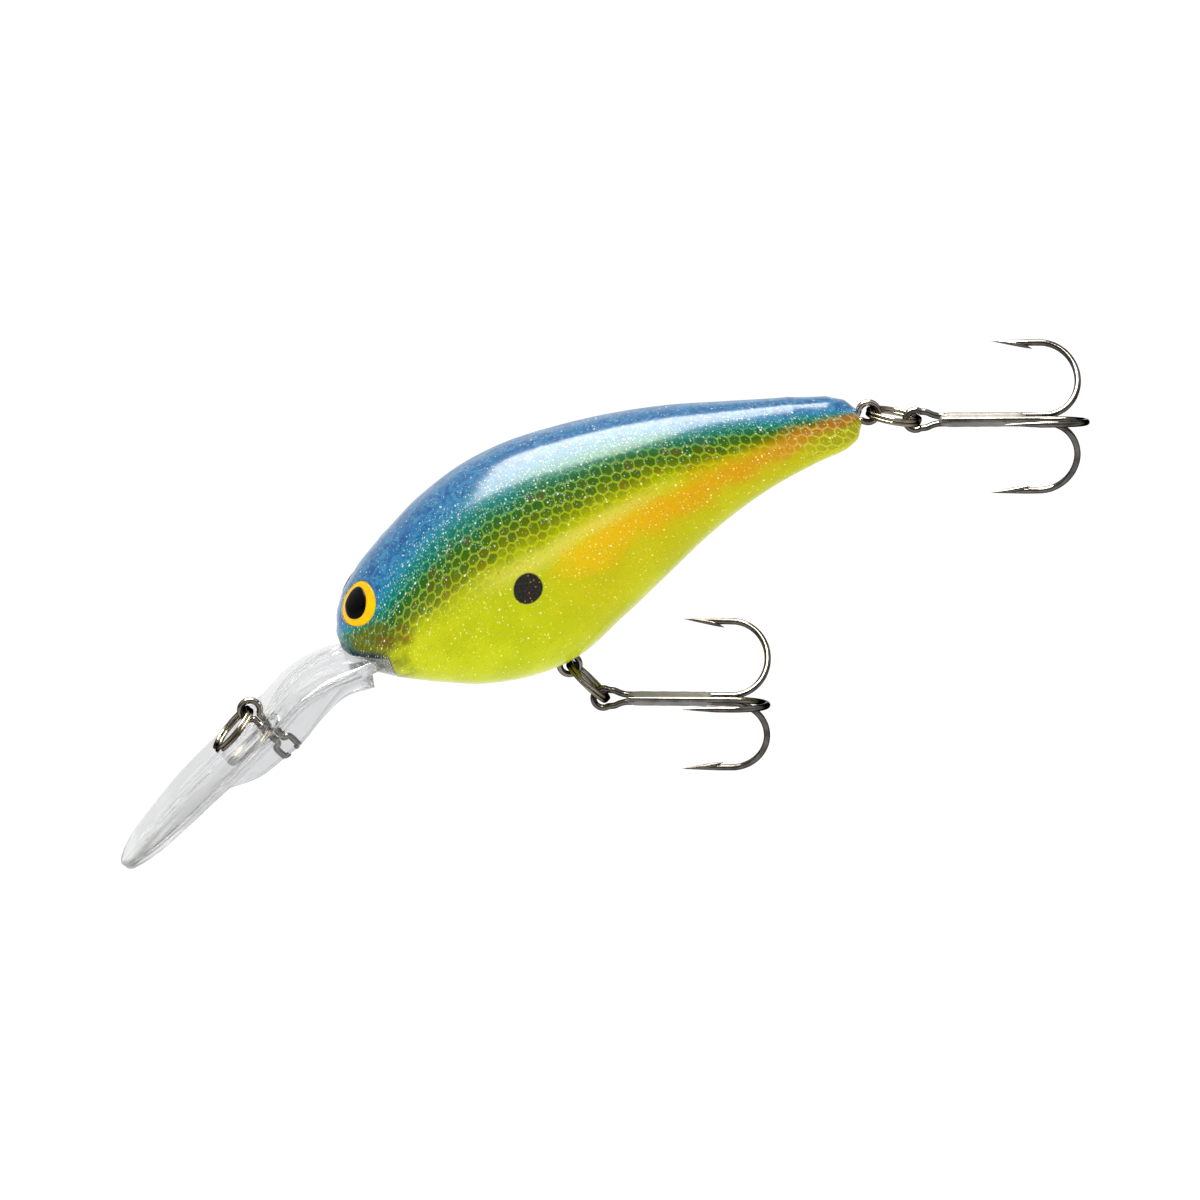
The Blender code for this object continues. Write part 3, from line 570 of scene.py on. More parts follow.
    # metal flakes of three sizes
    density = ramp(band, [(stop, grey(share)) for stop, share in paintJob["flakeDensity"]])
    density = times(density, ease(patch, 0.30, 0.62, 0.45, 1.0))
    upper = ease(band, 0.36, 0.44, 1.0, 0.0)
    flakeMask = 0.0
    for given, tones in zip(paintJob["flakes"], ("coolTones", "coolTones", "fineTones")):
        mask, tone = addFlakes(net, density, given)
        if tones == "fineTones":
            mask = times(mask, upper)
        flake = mix(upper, ramp(tone, paintJob["sunnyTones"]), ramp(tone, paintJob[tones]))
        colour = mix(mask, colour, flake)
        flakeMask = calc("MAXIMUM", flakeMask, mask)
    fromSpeck, speckChances = addCells(net, 2.3)
    speck = times(calc("LESS_THAN", fromSpeck, 0.13), calc("LESS_THAN", speckChances[0], 0.32))
    colour = mix(times(speck, 0.5), colour, linear(66, 70, 8))

    # shoulder spot
    spotAlong, spotShare, radius = paintJob["spot"]
    spotAt = (*netPlace(spotAlong, spotShare), 0.0)
    fromSpot = vectorCalc("DISTANCE", vectorCalc("MULTIPLY", net, (1.0, 1.0, 0.0)), spotAt, output=1)
    spot = ease(plus(fromSpot, times(mist, 0.12)), radius - 0.08, radius + 0.16, 1.0, 0.0)
    spotColour = mix(ease(mist, 0.45, 0.62), linear(24, 24, 22), linear(46, 46, 36))
    fromFlake, flakeChances = addCells(net, 1.5)
    spotFlake = times(calc("LESS_THAN", fromFlake, 0.16), calc("LESS_THAN", flakeChances[0], 0.45))
    spotColour = mix(times(spotFlake, 0.8), spotColour, linear(170, 110, 50))
    colour = mix(spot, colour, spotColour)

    tree.links.new(colour, shader.inputs["Base Color"])
    tree.links.new(stretch(mist, 0.3, 0.7, 0.24, 0.38), shader.inputs["Roughness"])
    shader.inputs["Specular IOR Level"].default_value = 0.02
    shader.inputs["Coat Weight"].default_value = 0.75
    shader.inputs["Coat Roughness"].default_value = 0.17
    shader.inputs["Coat IOR"].default_value = 1.23
    bumpFrom(tree, shader, plus(times(mist, 0.35), times(flakeMask, 0.6)), 0.12)
    return made


def makeBareShell():
    made, tree, shader = startMaterial("bareShell")
    place = addNode(tree, "ShaderNodeTexCoord").outputs["Object"]
    dust = addNoise(place, 2600.0, 3.0)
    colour = ramp(dust, [(0.42, linear(214, 218, 214)), (0.60, linear(150, 156, 150))])
    tree.links.new(colour, shader.inputs["Base Color"])
    tree.links.new(stretch(dust, 0.0, 1.0, 0.35, 0.55), shader.inputs["Roughness"])
    return made


paint = makePaint("bodyPaint")
bareShell = makeBareShell()
print("scene: paint ready")

# painted body halves
chin = {"notch": [(12.0, 8.35), (18.9, 9.0), (20.9, 3.2), (20.9, -3.0), (8.0, -3.0), (8.0, 7.0)]}
eyes = {
    "at": (2.75, 3.1), "radius": 3.15, "gap": 0.05, "socketDepth": 2.0, "widen": 1.13, "pupilSqueeze": 0.93,
    "iris": [  # radius and height
        (0, -0.95), (3.1, -0.95), (3.15, -0.6), (3.15, -0.20), (3.06, -0.10), (2.9, -0.04), (2.6, 0.0),
        (2.3, 0.02), (1.9, 0.02), (1.5, 0.02), (1.0, 0.02), (0.5, 0.02), (0, 0.02),
    ],
    "pupil": [
        (0, -0.3), (2.2, -0.3), (2.24, 0.04), (2.26, 0.12), (2.16, 0.20), (1.9, 0.26), (1.5, 0.30),
        (1.0, 0.32), (0.4, 0.33), (0, 0.33),
    ],
}


def notchPrism(grow, halfWidth=20.0):
    middle = Vector((15.5, 3.0))
    corners = []
    for x, z in chin["notch"]:
        out = (Vector((x, z)) - middle).normalized() * grow
        corners.append((x + out.x, z + out.y))
    return loftRings([[Vector((x, y, z)) for x, z in corners] for y in (-halfWidth, halfWidth)])


def eyeFrame(side):
    along, up = eyes["at"]

    def surface(a, v):
        back, belly, half = bodySection(a)
        share = min(0.98, abs(v - (back + belly) / 2) / ((back - belly) / 2))
        return Vector((a, side * half * (1 - share ** bodyForm["power"]) ** (1 / bodyForm["power"]), v))

    ahead = surface(along + 0.8, up) - surface(along - 0.8, up)
    above = surface(along, up + 0.8) - surface(along, up - 0.8)
    normal = ahead.cross(above).normalized()
    if normal.y * side < 0:
        normal.negate()
    across = Vector((0, 0, 1)).cross(normal).normalized()
    turn = Matrix((across, normal.cross(across), normal)).transposed().to_4x4()
    return bodyToRow @ Matrix.Translation(surface(along, up)) @ turn


def skinSag(along, up, side):
    # half width of the skin at a spot on the side
    back, belly, half = bodySection(along)
    share = min(1.0, abs(up - (back + belly) / 2) / ((back - belly) / 2))
    front = 1.0 if along > noseAt else 0.0
    return side * front * half * (1 - share ** bodyForm["power"]) ** (1 / bodyForm["power"])


def layOnSkin(bm, side):
    # lowers each spot of an eye by how far the skin curves away from the flat of the eye
    toBody = bodyToRow.inverted() @ eyeFrame(side)
    normal = (toBody.to_3x3() @ Vector((0, 0, 1))).normalized()
    sags = {}
    for vert in bm.verts:
        key = (round(vert.co.x, 3), round(vert.co.y, 3))
        if key not in sags:
            spot = toBody @ Vector((vert.co.x, vert.co.y, 0))
            low, high = -0.6, 3.0
            for _ in range(18):
                middle = (low + high) / 2
                tried = spot - normal * middle
                if abs(tried.y) > abs(skinSag(tried.x, tried.z, side)):
                    low = middle
                else:
                    high = middle
            sags[key] = high
        vert.co.z -= sags[key]


def makeBodyHalf(name, side):
    bm = layNetMap(skinLoft(noseAt, tailAt, bodyForm["rings"], bodyForm["sides"]))
    parts = bm.verts[:] + bm.edges[:] + bm.faces[:]
    bmesh.ops.bisect_plane(bm, geom=parts, plane_co=(0, 0, 0), plane_no=(0, -side, 0), clear_outer=True)
    rim = [edge for edge in bm.edges if edge.is_boundary]
    mating = bmesh.ops.holes_fill(bm, edges=rim)["faces"]
    for face in mating:
        face.material_index = 1
    bmesh.ops.triangulate(bm, faces=[face for face in bm.faces if len(face.verts) > 3])
    bmesh.ops.transform(bm, matrix=bodyToRow, verts=bm.verts)
    bmesh.ops.recalc_face_normals(bm, faces=bm.faces)
    half = meshOf(f"{name}Form", bm, paint, bareShell)
    notch = meshOf(f"{name}Notch", notchPrism(0.0), bareShell)
    wide, deep = eyes["radius"] + eyes["gap"], eyes["socketDepth"]
    socket = turnProfile([(0, -deep), (wide, -deep), (wide, 2.0), (0, 2.0)], 64)
    bmesh.ops.scale(socket, vec=(eyes["widen"], 1.0, 1.0), verts=socket.verts)
    bmesh.ops.transform(socket, matrix=eyeFrame(side), verts=socket.verts)
    socketForm = meshOf(f"{name}Socket", socket, bareShell)
    mesh = cutAndJoin(half, [("DIFFERENCE", notch), ("DIFFERENCE", socketForm)])
    mesh.transform(Matrix.Scale(mm, 4))
    mesh.name = name
    return mesh


for label, side in (("left", 1), ("right", -1)):
    mesh = makeBodyHalf(f"paintedShell_{label}", side)
    dressPiece(f"painted_shell_{label}", mesh, None, "lure", (f"body_shell_{label}",), 35)
    print("scene: shell", label, len(mesh.polygons))

# diving lip
lip = {
    "stations": [  # X, Z of the top face's middle line, half width, arch drop, thickness
        (23.0, 10.25, 5.0, 0.7, 2.6), (17.5, 9.5, 6.4, 1.0, 2.8), (13.9, 8.7, 7.8, 1.3, 2.9),
        (10.4, 7.5, 8.8, 1.2, 2.8), (7.6, 5.7, 9.6, 0.9, 2.6), (5.0, 3.2, 10.4, 0.5, 2.4),
        (1.9, -0.7, 11.4, 0.2, 2.2), (-2.2, -4.8, 12.1, 0.1, 2.1), (-6.2, -8.6, 12.3, 0.0, 2.0),
        (-10.0, -12.4, 11.8, 0.0, 1.9), (-13.6, -16.2, 10.0, 0.0, 1.8), (-16.4, -19.1, 7.1, 0.0, 1.7),
        (-17.7, -20.55, 4.3, 0.0, 1.6), (-18.25, -21.2, 1.6, 0.0, 1.5),
    ],
    "keel": [  # X, Z of its top, X, Z of its foot, half thickness
        (16.5, 7.8, 17.2, 2.9, 4.2), (12.4, 6.6, 13.3, 1.6, 3.0), (8.6, 4.6, 10.2, -1.2, 1.9),
        (4.0, 0.0, 7.2, -4.9, 1.5), (0.2, -4.0, 4.0, -7.6, 1.4), (-2.4, -6.6, 1.0, -9.8, 1.2),
        (-5.4, -9.6, -3.4, -11.3, 0.8),
    ],
    "ribs": [  # across, half width, height, and where each starts and ends along X
        (0.0, 0.50, 0.34, -15.5, 0.8), (1.7, 0.36, 0.26, -13.0, 0.5), (-1.7, 0.36, 0.26, -13.0, 0.5),
        (3.6, 0.40, 0.14, -10.0, -1.0), (-3.6, 0.40, 0.14, -10.0, -1.0), (1.15, 0.34, 0.30, 1.6, 13.5),
        (-1.15, 0.34, 0.30, 1.6, 13.5), (3.3, 0.45, 0.22, 2.4, 12.5), (-3.3, 0.45, 0.22, 2.4, 12.5),
    ],
    "columns": 60,
    "rootEnd": 12.0,
    "rootGap": 0.12,
}


def lipPoint(row, share, under):
    x, z, half, drop, thick, tangent = row
    down = Vector((-tangent.z, 0, tangent.x))
    y = half * share
    fall = drop * share**2
    rise = 0.0
    for middle, wide, high, start, end in lip["ribs"]:
        fade = max(0.0, min(1.0, (x - start) / 2.5)) * max(0.0, min(1.0, (end - x) / 1.2))
        rise += high * fade * math.exp(-(((y - middle) / wide) ** 2))
    if under:
        fall += thick * (1 - 0.4 * share**2)
    return Vector((x, y, z)) + down * (fall - (0.0 if under else rise))


def makeLipBlade():
    dense = smoothRows(lip["stations"], 8)
    count = lip["columns"]
    rings = []
    for k, values in enumerate(dense):
        before, after = dense[max(0, k - 1)], dense[min(len(dense) - 1, k + 1)]
        tangent = Vector((after[0] - before[0], 0, after[1] - before[1])).normalized()
        row, half = (*values, tangent), values[2]
        reach = 1 - min(0.95, half * 0.4) / half * 0.5
        evenly = [-1 + 2 * n / count for n in range(count + 1)]
        shares = [reach * t * (0.36 + 0.64 * abs(t)) for t in evenly]  # closer together near the middle ribs
        ring = []
        for side in (1, -1):
            # one face, then the rounded edge that turns to the other
            ring += [lipPoint(row, side * s, side < 0) for s in shares]
            top, under = lipPoint(row, side * reach, False), lipPoint(row, side * reach, True)
            for n in range(1, 6):
                a = math.pi * n / 6
                edge = (top - under) / 2 * math.cos(a) + Vector((0, half * (1 - reach) * math.sin(a), 0))
                ring.append((top + under) / 2 + edge * side)
        rings.append(ring)
    return loftRings(rings)


def makeKeel():
    rings = []
    for topX, topZ, footX, footZ, half in smoothRows(lip["keel"], 6):
        top, foot = Vector((topX, 0, topZ)), Vector((footX, 0, footZ))
        fall = (foot - top).normalized() * half * 0.72 * 0.8
        knee = foot - fall
        ring = [top + Vector((0, half, 0)), knee + Vector((0, half * 0.78, 0))]
        for n in range(1, 8):
            a = math.pi * n / 8
            ring.append(knee + Vector((0, half * 0.76 * math.cos(a), 0)) + fall * math.sin(a))
        ring += [knee - Vector((0, half * 0.78, 0)), top - Vector((0, half, 0))]
        rings.append(ring)
    return loftRings(rings)


def makeClearPlastic():
    made, tree, shader = startMaterial("clearPolycarbonate")
    place = addNode(tree, "ShaderNodeTexCoord").outputs["Object"]
    scuff = addNoise(place, 900.0, 6.0, Roughness=0.7)
    # flow lines run down the blade
    alongBlade = {"Vector": place, "Rotation": (0.0, math.radians(-45), 0.0), "Scale": (60.0, 1400.0, 1400.0)}
    flow = addNoise(addNode(tree, "ShaderNodeMapping", alongBlade).outputs[0], 1.0, 3.0)
    tree.links.new(stretch(scuff, 0.35, 0.75, 0.012, 0.06), shader.inputs["Roughness"])
    # grey overspray at the root
    split = addNode(tree, "ShaderNodeSeparateXYZ", {0: place})
    speckle = addNoise(place, 3200.0)
    near = ease(split.outputs[0], 0.0150, 0.0178)
    share = times(near, ease(speckle, 0.40, 0.54))
    tree.links.new(calc("MULTIPLY_ADD", share, -0.7), shader.inputs["Transmission Weight"])
    shader.inputs["Transmission Weight"].links[0].from_node.inputs[2].default_value = 0.95
    colour = mix(share, linear(210, 211, 213), linear(120, 122, 108))
    tree.links.new(colour, shader.inputs["Base Color"])
    shader.inputs["IOR"].default_value = 1.44
    bumpFrom(tree, shader, plus(times(scuff, 0.25), flow), 0.06, 0.0002)
    return made


clearPlastic = makeClearPlastic()
blade = meshOf("bladeForm", makeLipBlade(), clearPlastic)
keel = meshOf("keelForm", makeKeel(), clearPlastic)
root = skinLoft(noseAt, lip["rootEnd"], 40, 72)
bmesh.ops.triangulate(root, faces=[face for face in root.faces if len(face.verts) > 4])
bmesh.ops.transform(root, matrix=bodyToRow, verts=root.verts)
rootForm = meshOf("rootForm", root, clearPlastic)
notchInside = meshOf("notchInside", notchPrism(-lip["rootGap"]), clearPlastic)
rootMesh = cutAndJoin(rootForm, [("INTERSECT", notchInside)])
rootBlock = bpy.data.objects.new("rootBlock", rootMesh)
bpy.context.scene.collection.objects.link(rootBlock)
lipMesh = cutAndJoin(blade, [("UNION", keel), ("UNION", rootBlock)])
lipMesh.transform(Matrix.Scale(mm, 4))
lipMesh.name = "divingLip"
dressPiece("clear_diving_lip", lipMesh, None, "lure", ("diving_lip",), 38)
print("scene: lip", len(lipMesh.polygons))

# metal finishes
metals = {
    "ringSteel": {"dark": (92, 84, 72), "light": (144, 135, 120), "rough": (0.06, 0.13), "grain": 5200.0},
    "hangerSteel": {"dark": (92, 87, 79), "light": (142, 137, 127), "rough": (0.06, 0.13), "grain": 5200.0},
    "blackNickel": {"dark": (66, 63, 60), "light": (108, 104, 100), "rough": (0.05, 0.12), "grain": 4200.0},
    "solder": {
        "dark": (104, 102, 98), "light": (128, 126, 121), "rough": (0.45, 0.65), "grain": 2600.0,
        "metallic": 0.12,
    },
    "rattleSteel": {"dark": (140, 140, 138), "light": (190, 190, 188), "rough": (0.12, 0.22), "grain": 1800.0},
    "castLead": {"dark": (62, 62, 68), "light": (110, 110, 116), "rough": (0.45, 0.70), "grain": 1400.0},
}


def makeMetal(name):
    given = metals[name]
    made, tree, shader = startMaterial(name)
    place = addNode(tree, "ShaderNodeTexCoord").outputs["Object"]
    tarnish = addNoise(place, 420.0, 4.0)
    grain = addNoise(place, given["grain"], 3.0, Roughness=0.7)
    colour = ramp(tarnish, [(0.32, linear(*given["dark"])), (0.68, linear(*given["light"]))])
    if "metallic" not in given:
        # painted shade: bare metal goes nearly black where the wire turns away from the view, and its gloss
        # gets a dark edge tint
        facing = addNode(tree, "ShaderNodeLayerWeight", {"Blend": 0.5}).outputs["Facing"]
        paintedEdgeShade = ease(facing, 0.24, 0.70)
        colour = mix(times(paintedEdgeShade, 0.88), colour, linear(12, 11, 10))
        shader.inputs["Specular Tint"].default_value = grey(0.12)
    tree.links.new(colour, shader.inputs["Base Color"])
    low, high = given["rough"]
    tree.links.new(stretch(grain, 0.3, 0.7, low, high), shader.inputs["Roughness"])
    shader.inputs["Metallic"].default_value = given.get("metallic", 1.0)
    shader.inputs["Specular IOR Level"].default_value = 0.5 if "metallic" not in given else 0.2
    bumpFrom(tree, shader, grain, 0.05 if high < 0.4 else 0.30)
    return made


metal = {name: makeMetal(name) for name in metals}

# wires and rings
wire = {"radius": 0.45, "loop": 1.37, "stem": 1.02}
tieFoot = {"below": 1.2, "above": 1.1, "half": 1.25}  # the line tie's turned-out feet, about their anchor
ringSize = {
    "outer": 7.8, "radial": 0.60, "axial": 0.50, "coilGap": 0.03, "step": 35.0, "stops": 170, "sides": 14,
}
joints = {joint["name"]: joint for joint in frame["record"]["behaviour"]["joints"]}


def placeOf(jointName):
    return Vector(joints[jointName]["pos_m"]) / mm


loops = {"line": Vector((0, 0, 0)), "belly": placeOf("belly_ring_swing"), "tail": placeOf("tail_ring_swing")}
pivots = {"belly": placeOf("belly_treble_swing"), "tail": placeOf("tail_treble_swing")}


def hangerPath(anchor, square=False):
    leg = wire["stem"] / 2
    opening = math.degrees(math.asin(leg / wire["loop"]))
    loop = arcPoints((0, 0), wire["loop"], -90 + opening, 270 - opening, 56)
    if square:
        low, high, wide = -anchor - tieFoot["below"], -anchor + tieFoot["above"], tieFoot["half"]
        corners = [
            (leg, -2.6), (leg, -4.2), (leg, high), (wide, high - 0.45), (wide, low + 0.25), (wide - 0.3, low),
            (0.55, low),
        ]
        right = smoothThrough([Vector((x, 0, z)) for x, z in corners], 6)
    else:
        right = arcPoints((0, -anchor), wire["loop"], 90 - opening, -68, 26)
    left = [Vector((-p.x, 0, p.z)) for p in right]
    return left[::-1] + loop[::-1] + right


def alongDirection(direction):
    return Matrix.Rotation(math.atan2(-direction.x, -direction.z), 4, "Y")


def addHanger(name, node, loop, inward, anchor, square=False):
    place = Matrix.Translation(loop) @ alongDirection(inward)
    path = [place @ p for p in hangerPath(anchor, square)]
    ends = [0.86, 1.0] + [1.0] * (len(path) - 4) + [1.0, 0.86]
    bm = sweepWire(path, wire["radius"], ends)
    return finishPiece(name, bm, metal["hangerSteel"], "lure", (node,))


def addSplitRing(name, node, loop, direction, body):
    out = Vector((direction.x, 0, direction.z)).normalized()
    normal = out.cross(Vector((0, 1, 0)))
    reach = (ringSize["outer"] - ringSize["radial"]) / 2
    turn = Matrix((out, Vector((0, 1, 0)), normal)).transposed().to_4x4()
    place = Matrix.Translation(loop + out * reach) @ turn
    lift = ringSize["axial"] + ringSize["coilGap"]
    end = 720 - ringSize["step"] - 8
    count, sides = ringSize["stops"], ringSize["sides"]
    rings = []
    for k in range(count + 1):
        stop = end * k / count
        # two flat coils joined by a step
        t = min(1.0, max(0.0, (stop - 360 + ringSize["step"]) / ringSize["step"]))
        height = lift * t * t * (3 - 2 * t) - lift / 2
        a = math.radians(stop)
        outward = Vector((math.cos(a), math.sin(a), 0))
        tip = 0.82 if k in (0, count) else 1.0
        ring = []
        for n in range(sides):
            b = 2 * math.pi * (n + 0.5) / sides
            c, s = math.cos(b), math.sin(b)
            wide = ringSize["radial"] / 2 * math.copysign(abs(c) ** 0.62, c) * tip
            tall = ringSize["axial"] / 2 * math.copysign(abs(s) ** 0.62, s) * tip
            ring.append(place @ (outward * (reach + wide) + Vector((0, 0, height + tall))))
        rings.append(ring)
    return finishPiece(name, loftRings(rings), metal["ringSteel"], body, (node,), 50)


tailInward = (bodyToRow.to_3x3() @ Vector((-1, 0, -0.12))).normalized()
bellyInward = Vector((-0.42, 0, 0.907)).normalized()
addHanger("line_tie_staple", "line_tie_wire", loops["line"], Vector((0.695, 0, -0.719)), 7.0, True)
addHanger("belly_hook_hanger", "belly_hanger_wire", loops["belly"], bellyInward, 4.6)
addHanger("tail_hook_hanger", "tail_hanger_wire", loops["tail"], tailInward, 4.9)
lineAngle = math.radians(229.0)
lineToward = Vector((math.cos(lineAngle), 0, math.sin(lineAngle)))
addSplitRing("line_ring_coils", "line_tie_split_ring", loops["line"], lineToward, "line_ring")
for label in ("belly", "tail"):
    toward = pivots[label] - loops[label]
    addSplitRing(f"{label}_ring_coils", f"{label}_split_ring", loops[label], toward, f"{label}_ring")
print("scene: rings and hangers ready")

# treble hooks
treble = {
    "brazeStops": [2.7, 3.1, 3.9, 4.8, 5.8, 6.8, 7.8, 8.8, 9.8, 10.8, 11.8, 12.8, 13.7, 14.5, 15.0],
    "roll": 9.5, "yaw": {"belly": -7.5, "tail": -3.7}, "eyeBack": 1.85, "eyeRadius": 1.35, "neck": 2.5,
    "bendStart": 17.3, "bendAlong": 5.0, "bendAcross": 5.65, "point": 6.8, "shankPitch": 1.0,
    "barb": [  # distance behind the tip, depth of its middle under the outer line, half depth, half width
        (0.5, 0.20, 0.08, 0.07), (1.2, 0.27, 0.16, 0.17), (2.2, 0.42, 0.24, 0.28), (3.2, 0.60, 0.29, 0.34),
        (4.1, 0.80, 0.30, 0.33), (4.7, 0.98, 0.24, 0.27), (5.2, 1.17, 0.15, 0.18), (5.6, 1.33, 0.06, 0.08),
        (5.75, 1.40, 0.02, 0.03),
    ],
    "barbSides": 12,
    "taper": 4.9,
    "cover": ((0, 0.41), (120, 0.485), (-120, 0.485)),  # brazing over each shank, by its turn
    "brazeSides": 30,
}
toShank = treble["shankPitch"] / math.sqrt(3)  # from the treble's axis to each shank's middle


def hookArm(turnDegrees):
    # shank, bend and point in the treble's own frame; taper lists go with the path
    across, top = toShank + treble["bendAcross"], toShank + 2 * treble["bendAcross"]
    start = treble["bendStart"]
    flat = [Vector((x, 0, toShank)) for x in (treble["neck"] + 0.6, 6.5, 9.5, 12.5, 15.0, start - 0.9)]
    for k in range(1, 34):
        a = math.radians(-90 + 180 * k / 34)
        ahead, out = treble["bendAlong"] * math.cos(a), treble["bendAcross"] * math.sin(a)
        flat.append(Vector((start + ahead, 0, across + out)))
    flat += [Vector((start - 0.6, 0, top)), Vector((start - 1.3, 0, top))]
    tip = start - treble["point"]
    widths = [1.0] * len(flat)
    depths = [1.0] * len(flat)
    offsets = [0.0] * len(flat)
    for s in (4.9, 4.2, 3.5, 2.8, 2.1, 1.4, 0.8, 0.3, 0.0):
        flat.append(Vector((tip + s, 0, top)))
        share = min(1.0, s / treble["taper"])
        depth = 0.05 + 0.95 * share**0.85
        widths.append(0.05 + 0.95 * share**0.75)
        depths.append(depth)
        offsets.append((1 - depth) * wire["radius"] * 0.72)  # the taper is cut from the inside
    turn = Matrix.Rotation(math.radians(turnDegrees), 3, "X")
    return [turn @ p for p in flat], widths, depths, offsets


def addBarb(bm, turnDegrees):
    top = toShank + 2 * treble["bendAcross"]
    tip = treble["bendStart"] - treble["point"]
    turn = Matrix.Rotation(math.radians(turnDegrees), 3, "X")
    rings = []
    for behind, middle, deep, wide in treble["barb"]:
        centre = Vector((tip + behind, 0, top + wire["radius"] - middle))
        ring = []
        for n in range(treble["barbSides"]):
            a = 2 * math.pi * (n + 0.5) / treble["barbSides"]
            ring.append(turn @ (centre + Vector((0, wide * math.cos(a), deep * math.sin(a)))))
        rings.append(ring)
    loftRings(rings, bm)


def armBm(turnDegrees, bm=None):
    # one arm swept on its own, its section's side square to the hook's plane
    path, widths, depths, offsets = hookArm(turnDegrees)
    turn = Matrix.Rotation(math.radians(turnDegrees), 3, "X")
    side, outward = turn @ Vector((0, 1, 0)), turn @ Vector((0, 0, 1))
    # the taper's shift goes outwards whichever way the wire runs
    for k, offset in enumerate(offsets):
        if tangentAt(path, k).cross(side).dot(outward) <= 0:
            offsets[k] = -offset
    return sweepWire(path, wire["radius"], widths, depths, offsets, side, bm)


def eyeBm(bm):
    # the wire's eye and neck, from one arm's shank to the other's
    first = hookArm(-120)[0]
    half, level = first[0].y, first[0].z
    centre = treble["eyeRadius"] - treble["eyeBack"]
    start = treble["neck"]
    neck = [(5.6, half), (start + 0.8, half), (start, half + 0.05), (1.75, 0.76), (1.05, 1.06)]
    ring = [(p.x, p.z) for p in arcPoints((centre, 0), treble["eyeRadius"], 58, 302, 26)]
    line = neck + ring + [(x, -y) for x, y in reversed(neck)]
    path = smoothThrough([Vector((x, y, level)) for x, y in line], 3)
    return sweepWire(path, wire["radius"], [1.0] * len(path), side=(0, 0, 1), bm=bm)


def finishHook(name, bm, body, node):
    finishPiece(name, bm, metal["blackNickel"], body, (node,), 50)


def addTreble(label):
    place = (
        Matrix.Translation(pivots[label])
        @ Matrix.Rotation(math.radians(treble["yaw"][label]), 4, "Z")
        @ Matrix.Rotation(math.radians(90 - treble["roll"]), 4, "X")
    )
    body, replaced = f"{label}_treble", f"{label}_treble_"
    double = bmesh.new()
    for turnDegrees in (-120, 120):
        armBm(turnDegrees, double)
        addBarb(double, turnDegrees)
    eyeBm(double)
    bmesh.ops.transform(double, matrix=place, verts=double.verts)
    finishHook(f"{label}_double_hook", double, body, replaced + "double_hook")
    single = armBm(0)
    addBarb(single, 0)
    bmesh.ops.transform(single, matrix=place, verts=single.verts)
    finishHook(f"{label}_third_hook", single, body, replaced + "single_hook")
    # brazing that fills the valleys and coats the two outer shanks
    rings = []
    last = len(treble["brazeStops"]) - 1
    for k, stop in enumerate(treble["brazeStops"]):
        swell = {0: 0.30, 1: 0.78, last - 1: 0.80, last: 0.35}.get(k, 1.0 + 0.02 * math.sin(k * 2.3))
        ring = []
        for n in range(treble["brazeSides"]):
            a = 2 * math.pi * n / treble["brazeSides"]
            # the outline round three shanks, tighter at the single hook's
            reach = max(toShank * math.cos(a - math.radians(turn)) + cover for turn, cover in treble["cover"])
            ring.append(Vector((stop, -math.sin(a) * reach * swell, math.cos(a) * reach * swell)))
        rings.append(ring)
    braze = loftRings(rings)
    bmesh.ops.transform(braze, matrix=place, verts=braze.verts)
    finishPiece(f"{label}_braze", braze, metal["solder"], body, (), 60)


for label in ("belly", "tail"):
    addTreble(label)
print("scene: trebles ready")


# eyes
def makeEnamel(name, inner, outer, rough, coat):
    made, tree, shader = startMaterial(name)
    place = addNode(tree, "ShaderNodeTexCoord").outputs["Object"]
    wash = addNoise(place, 700.0, 4.0)
    tree.links.new(ramp(wash, [(0.35, linear(*inner)), (0.65, linear(*outer))]), shader.inputs["Base Color"])
    tree.links.new(stretch(wash, 0.0, 1.0, rough, rough + 0.1), shader.inputs["Roughness"])
    shader.inputs["Specular IOR Level"].default_value = 0.04
    shader.inputs["Coat Weight"].default_value = coat
    shader.inputs["Coat Roughness"].default_value = 0.05
    shader.inputs["Coat IOR"].default_value = 1.33
    bumpFrom(tree, shader, wash, 0.05)
    return made


enamels = {
    "iris": makeEnamel("irisEnamel", (255, 208, 0), (252, 190, 0), 0.3, 0.3),
    "pupil": makeEnamel("pupilEnamel", (1, 1, 2), (3, 3, 5), 0.24, 0.12),
}
for label, side in (("left", 1), ("right", -1)):
    for part, squeeze in (("iris", eyes["widen"]), ("pupil", eyes["pupilSqueeze"])):
        bm = turnProfile(eyes[part], 72)
        bmesh.ops.scale(bm, vec=(squeeze, 1.0, 1.0), verts=bm.verts)
        layOnSkin(bm, side)
        bmesh.ops.transform(bm, matrix=eyeFrame(side), verts=bm.verts)
        node = f"eye_{part}_{label}"
        finishPiece(f"{part}_{label}", bm, enamels[part], "lure", (node,), 60)

# inside pieces keep their solids and get a finish
for k in range(3):
    frame["nodes"][f"rattle_ball_{k + 1}"].material_slots[0].material = metal["rattleSteel"]
frame["nodes"]["ballast_weight"].material_slots[0].material = metal["castLead"]
print("scene: eyes and inside pieces ready")

# floor, lights and camera
studio = {
    "azimuth": -5.6, "elevation": 15.0, "lens": 150.0, "sensor": 36.0,
    "viewWidth": 165.6, "aimRight": 48.3, "aimUp": 15.18,  # millimetres, at the line tie's distance
    "floorDrop": 0.16, "floorReach": 12.0,
    "air": [(0.0, 0.08), (0.28, 0.17), (0.48, 0.44), (0.66, 0.68), (0.88, 1.0)],
    "target": (0.045, 0.0, 0.015),
}


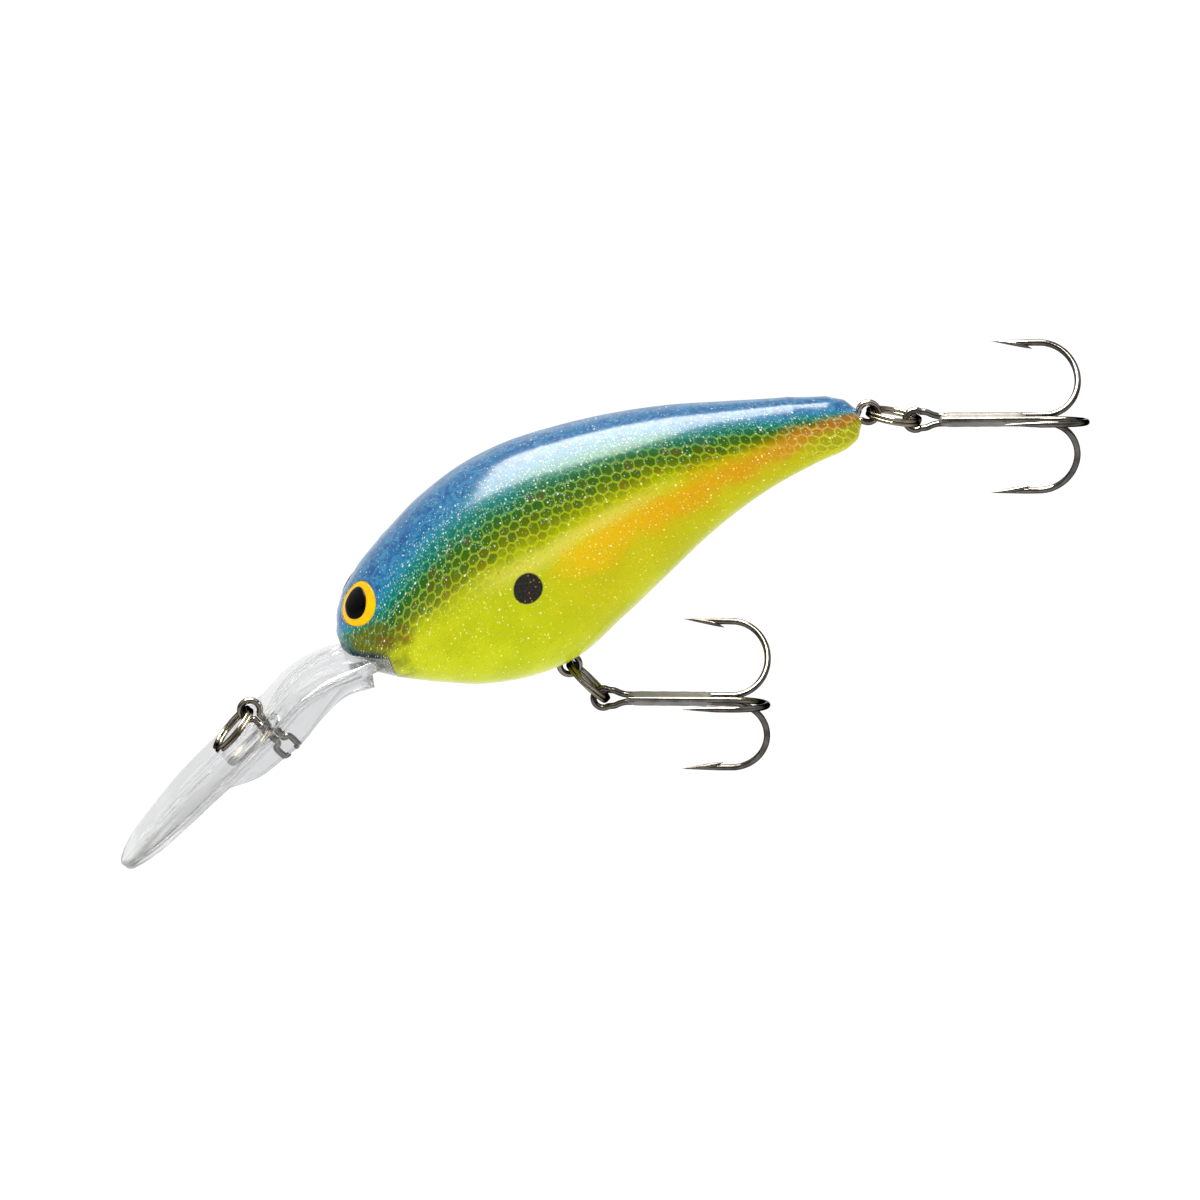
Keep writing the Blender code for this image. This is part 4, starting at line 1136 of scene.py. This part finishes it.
def makeFloor():
    bm = bmesh.new()
    bmesh.ops.create_grid(bm, x_segments=8, y_segments=8, size=studio["floorReach"])
    bmesh.ops.translate(bm, vec=(0, 0, cadBox[0].z - studio["floorDrop"]), verts=bm.verts)
    made, tree, shader = startMaterial("paleFloor")
    place = addNode(tree, "ShaderNodeTexCoord").outputs["Object"]
    mottle = addNoise(place, 3.0)
    tree.links.new(ramp(mottle, [(0.3, grey(0.955)), (0.7, grey(0.965))]), shader.inputs["Base Color"])
    shader.inputs["Roughness"].default_value = 0.9
    shader.inputs["Specular IOR Level"].default_value = 0.1
    floor = meshOf("paleFloor", bm, made)
    floor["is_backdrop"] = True


def addSoftbox(name, location, width, height, power):
    light = bpy.data.lights.new(name, "AREA")
    light.shape = "RECTANGLE"
    light.size, light.size_y = width, height
    light.energy = power
    holder = bpy.data.objects.new(name, light)
    bpy.context.scene.collection.objects.link(holder)
    holder.location = location
    toTarget = Vector(studio["target"]) - Vector(location)
    holder.rotation_euler = toTarget.to_track_quat("-Z", "Y").to_euler()
    return holder


def addStudioAir():
    # bright overhead, dimmer towards the horizon, so that metal and clear plastic have something to show
    world = bpy.data.worlds.new("studioAir")
    world.use_nodes = True
    tree = world.node_tree
    way = addNode(tree, "ShaderNodeTexCoord").outputs["Generated"]
    lift = vectorCalc("DOT_PRODUCT", way, (0.0, 0.30, 0.90), output=1)
    glow = ramp(plus(lift, 0.30), [(stop, grey(level)) for stop, level in studio["air"]])
    tree.links.new(glow, tree.nodes["Background"].inputs[0])
    tree.nodes["Background"].inputs[1].default_value = 1.27
    bpy.context.scene.world = world


makeFloor()
addStudioAir()
overhead = addSoftbox("overheadSoftbox", (-0.045, -0.035, 0.54), 0.44, 0.52, 38.0)
overhead.rotation_euler = (0.0, 0.0, math.radians(-14))  # faces straight down, turned about the vertical
overhead.data.color = (1.0, 0.96, 0.84)
overhead.visible_diffuse = False  # shows in gloss only; the air gives the even light
fill = addSoftbox("frontFill", (-0.10, -0.95, 0.10), 0.9, 0.9, 3.2)
fill.visible_glossy = False
bpy.context.scene.view_settings.view_transform = "Standard"

azimuth, elevation = math.radians(studio["azimuth"]), math.radians(studio["elevation"])
level = Vector((math.sin(azimuth), -math.cos(azimuth), 0))
back = level * math.cos(elevation) + Vector((0, 0, math.sin(elevation)))
right = Vector((math.cos(azimuth), math.sin(azimuth), 0))
up = back.cross(right)
lens = bpy.data.cameras.new("studioCamera")
lens.lens = studio["lens"]
lens.sensor_width = studio["sensor"]
lens.clip_start, lens.clip_end = 0.01, 60.0
camera = bpy.data.objects.new("studioCamera", lens)
bpy.context.scene.collection.objects.link(camera)
distance = studio["viewWidth"] * mm * lens.lens / lens.sensor_width
centre = (right * studio["aimRight"] + up * studio["aimUp"]) * mm
facing = Matrix((right, up, back)).transposed().to_4x4()
camera.matrix_world = Matrix.Translation(centre + back * distance) @ facing
bpy.context.scene.camera = camera

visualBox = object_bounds()
for label, box in (("cad", cadBox), ("visual", visualBox)):
    print("scene: size,", label, [round(v / mm, 2) for corner in box for v in corner])
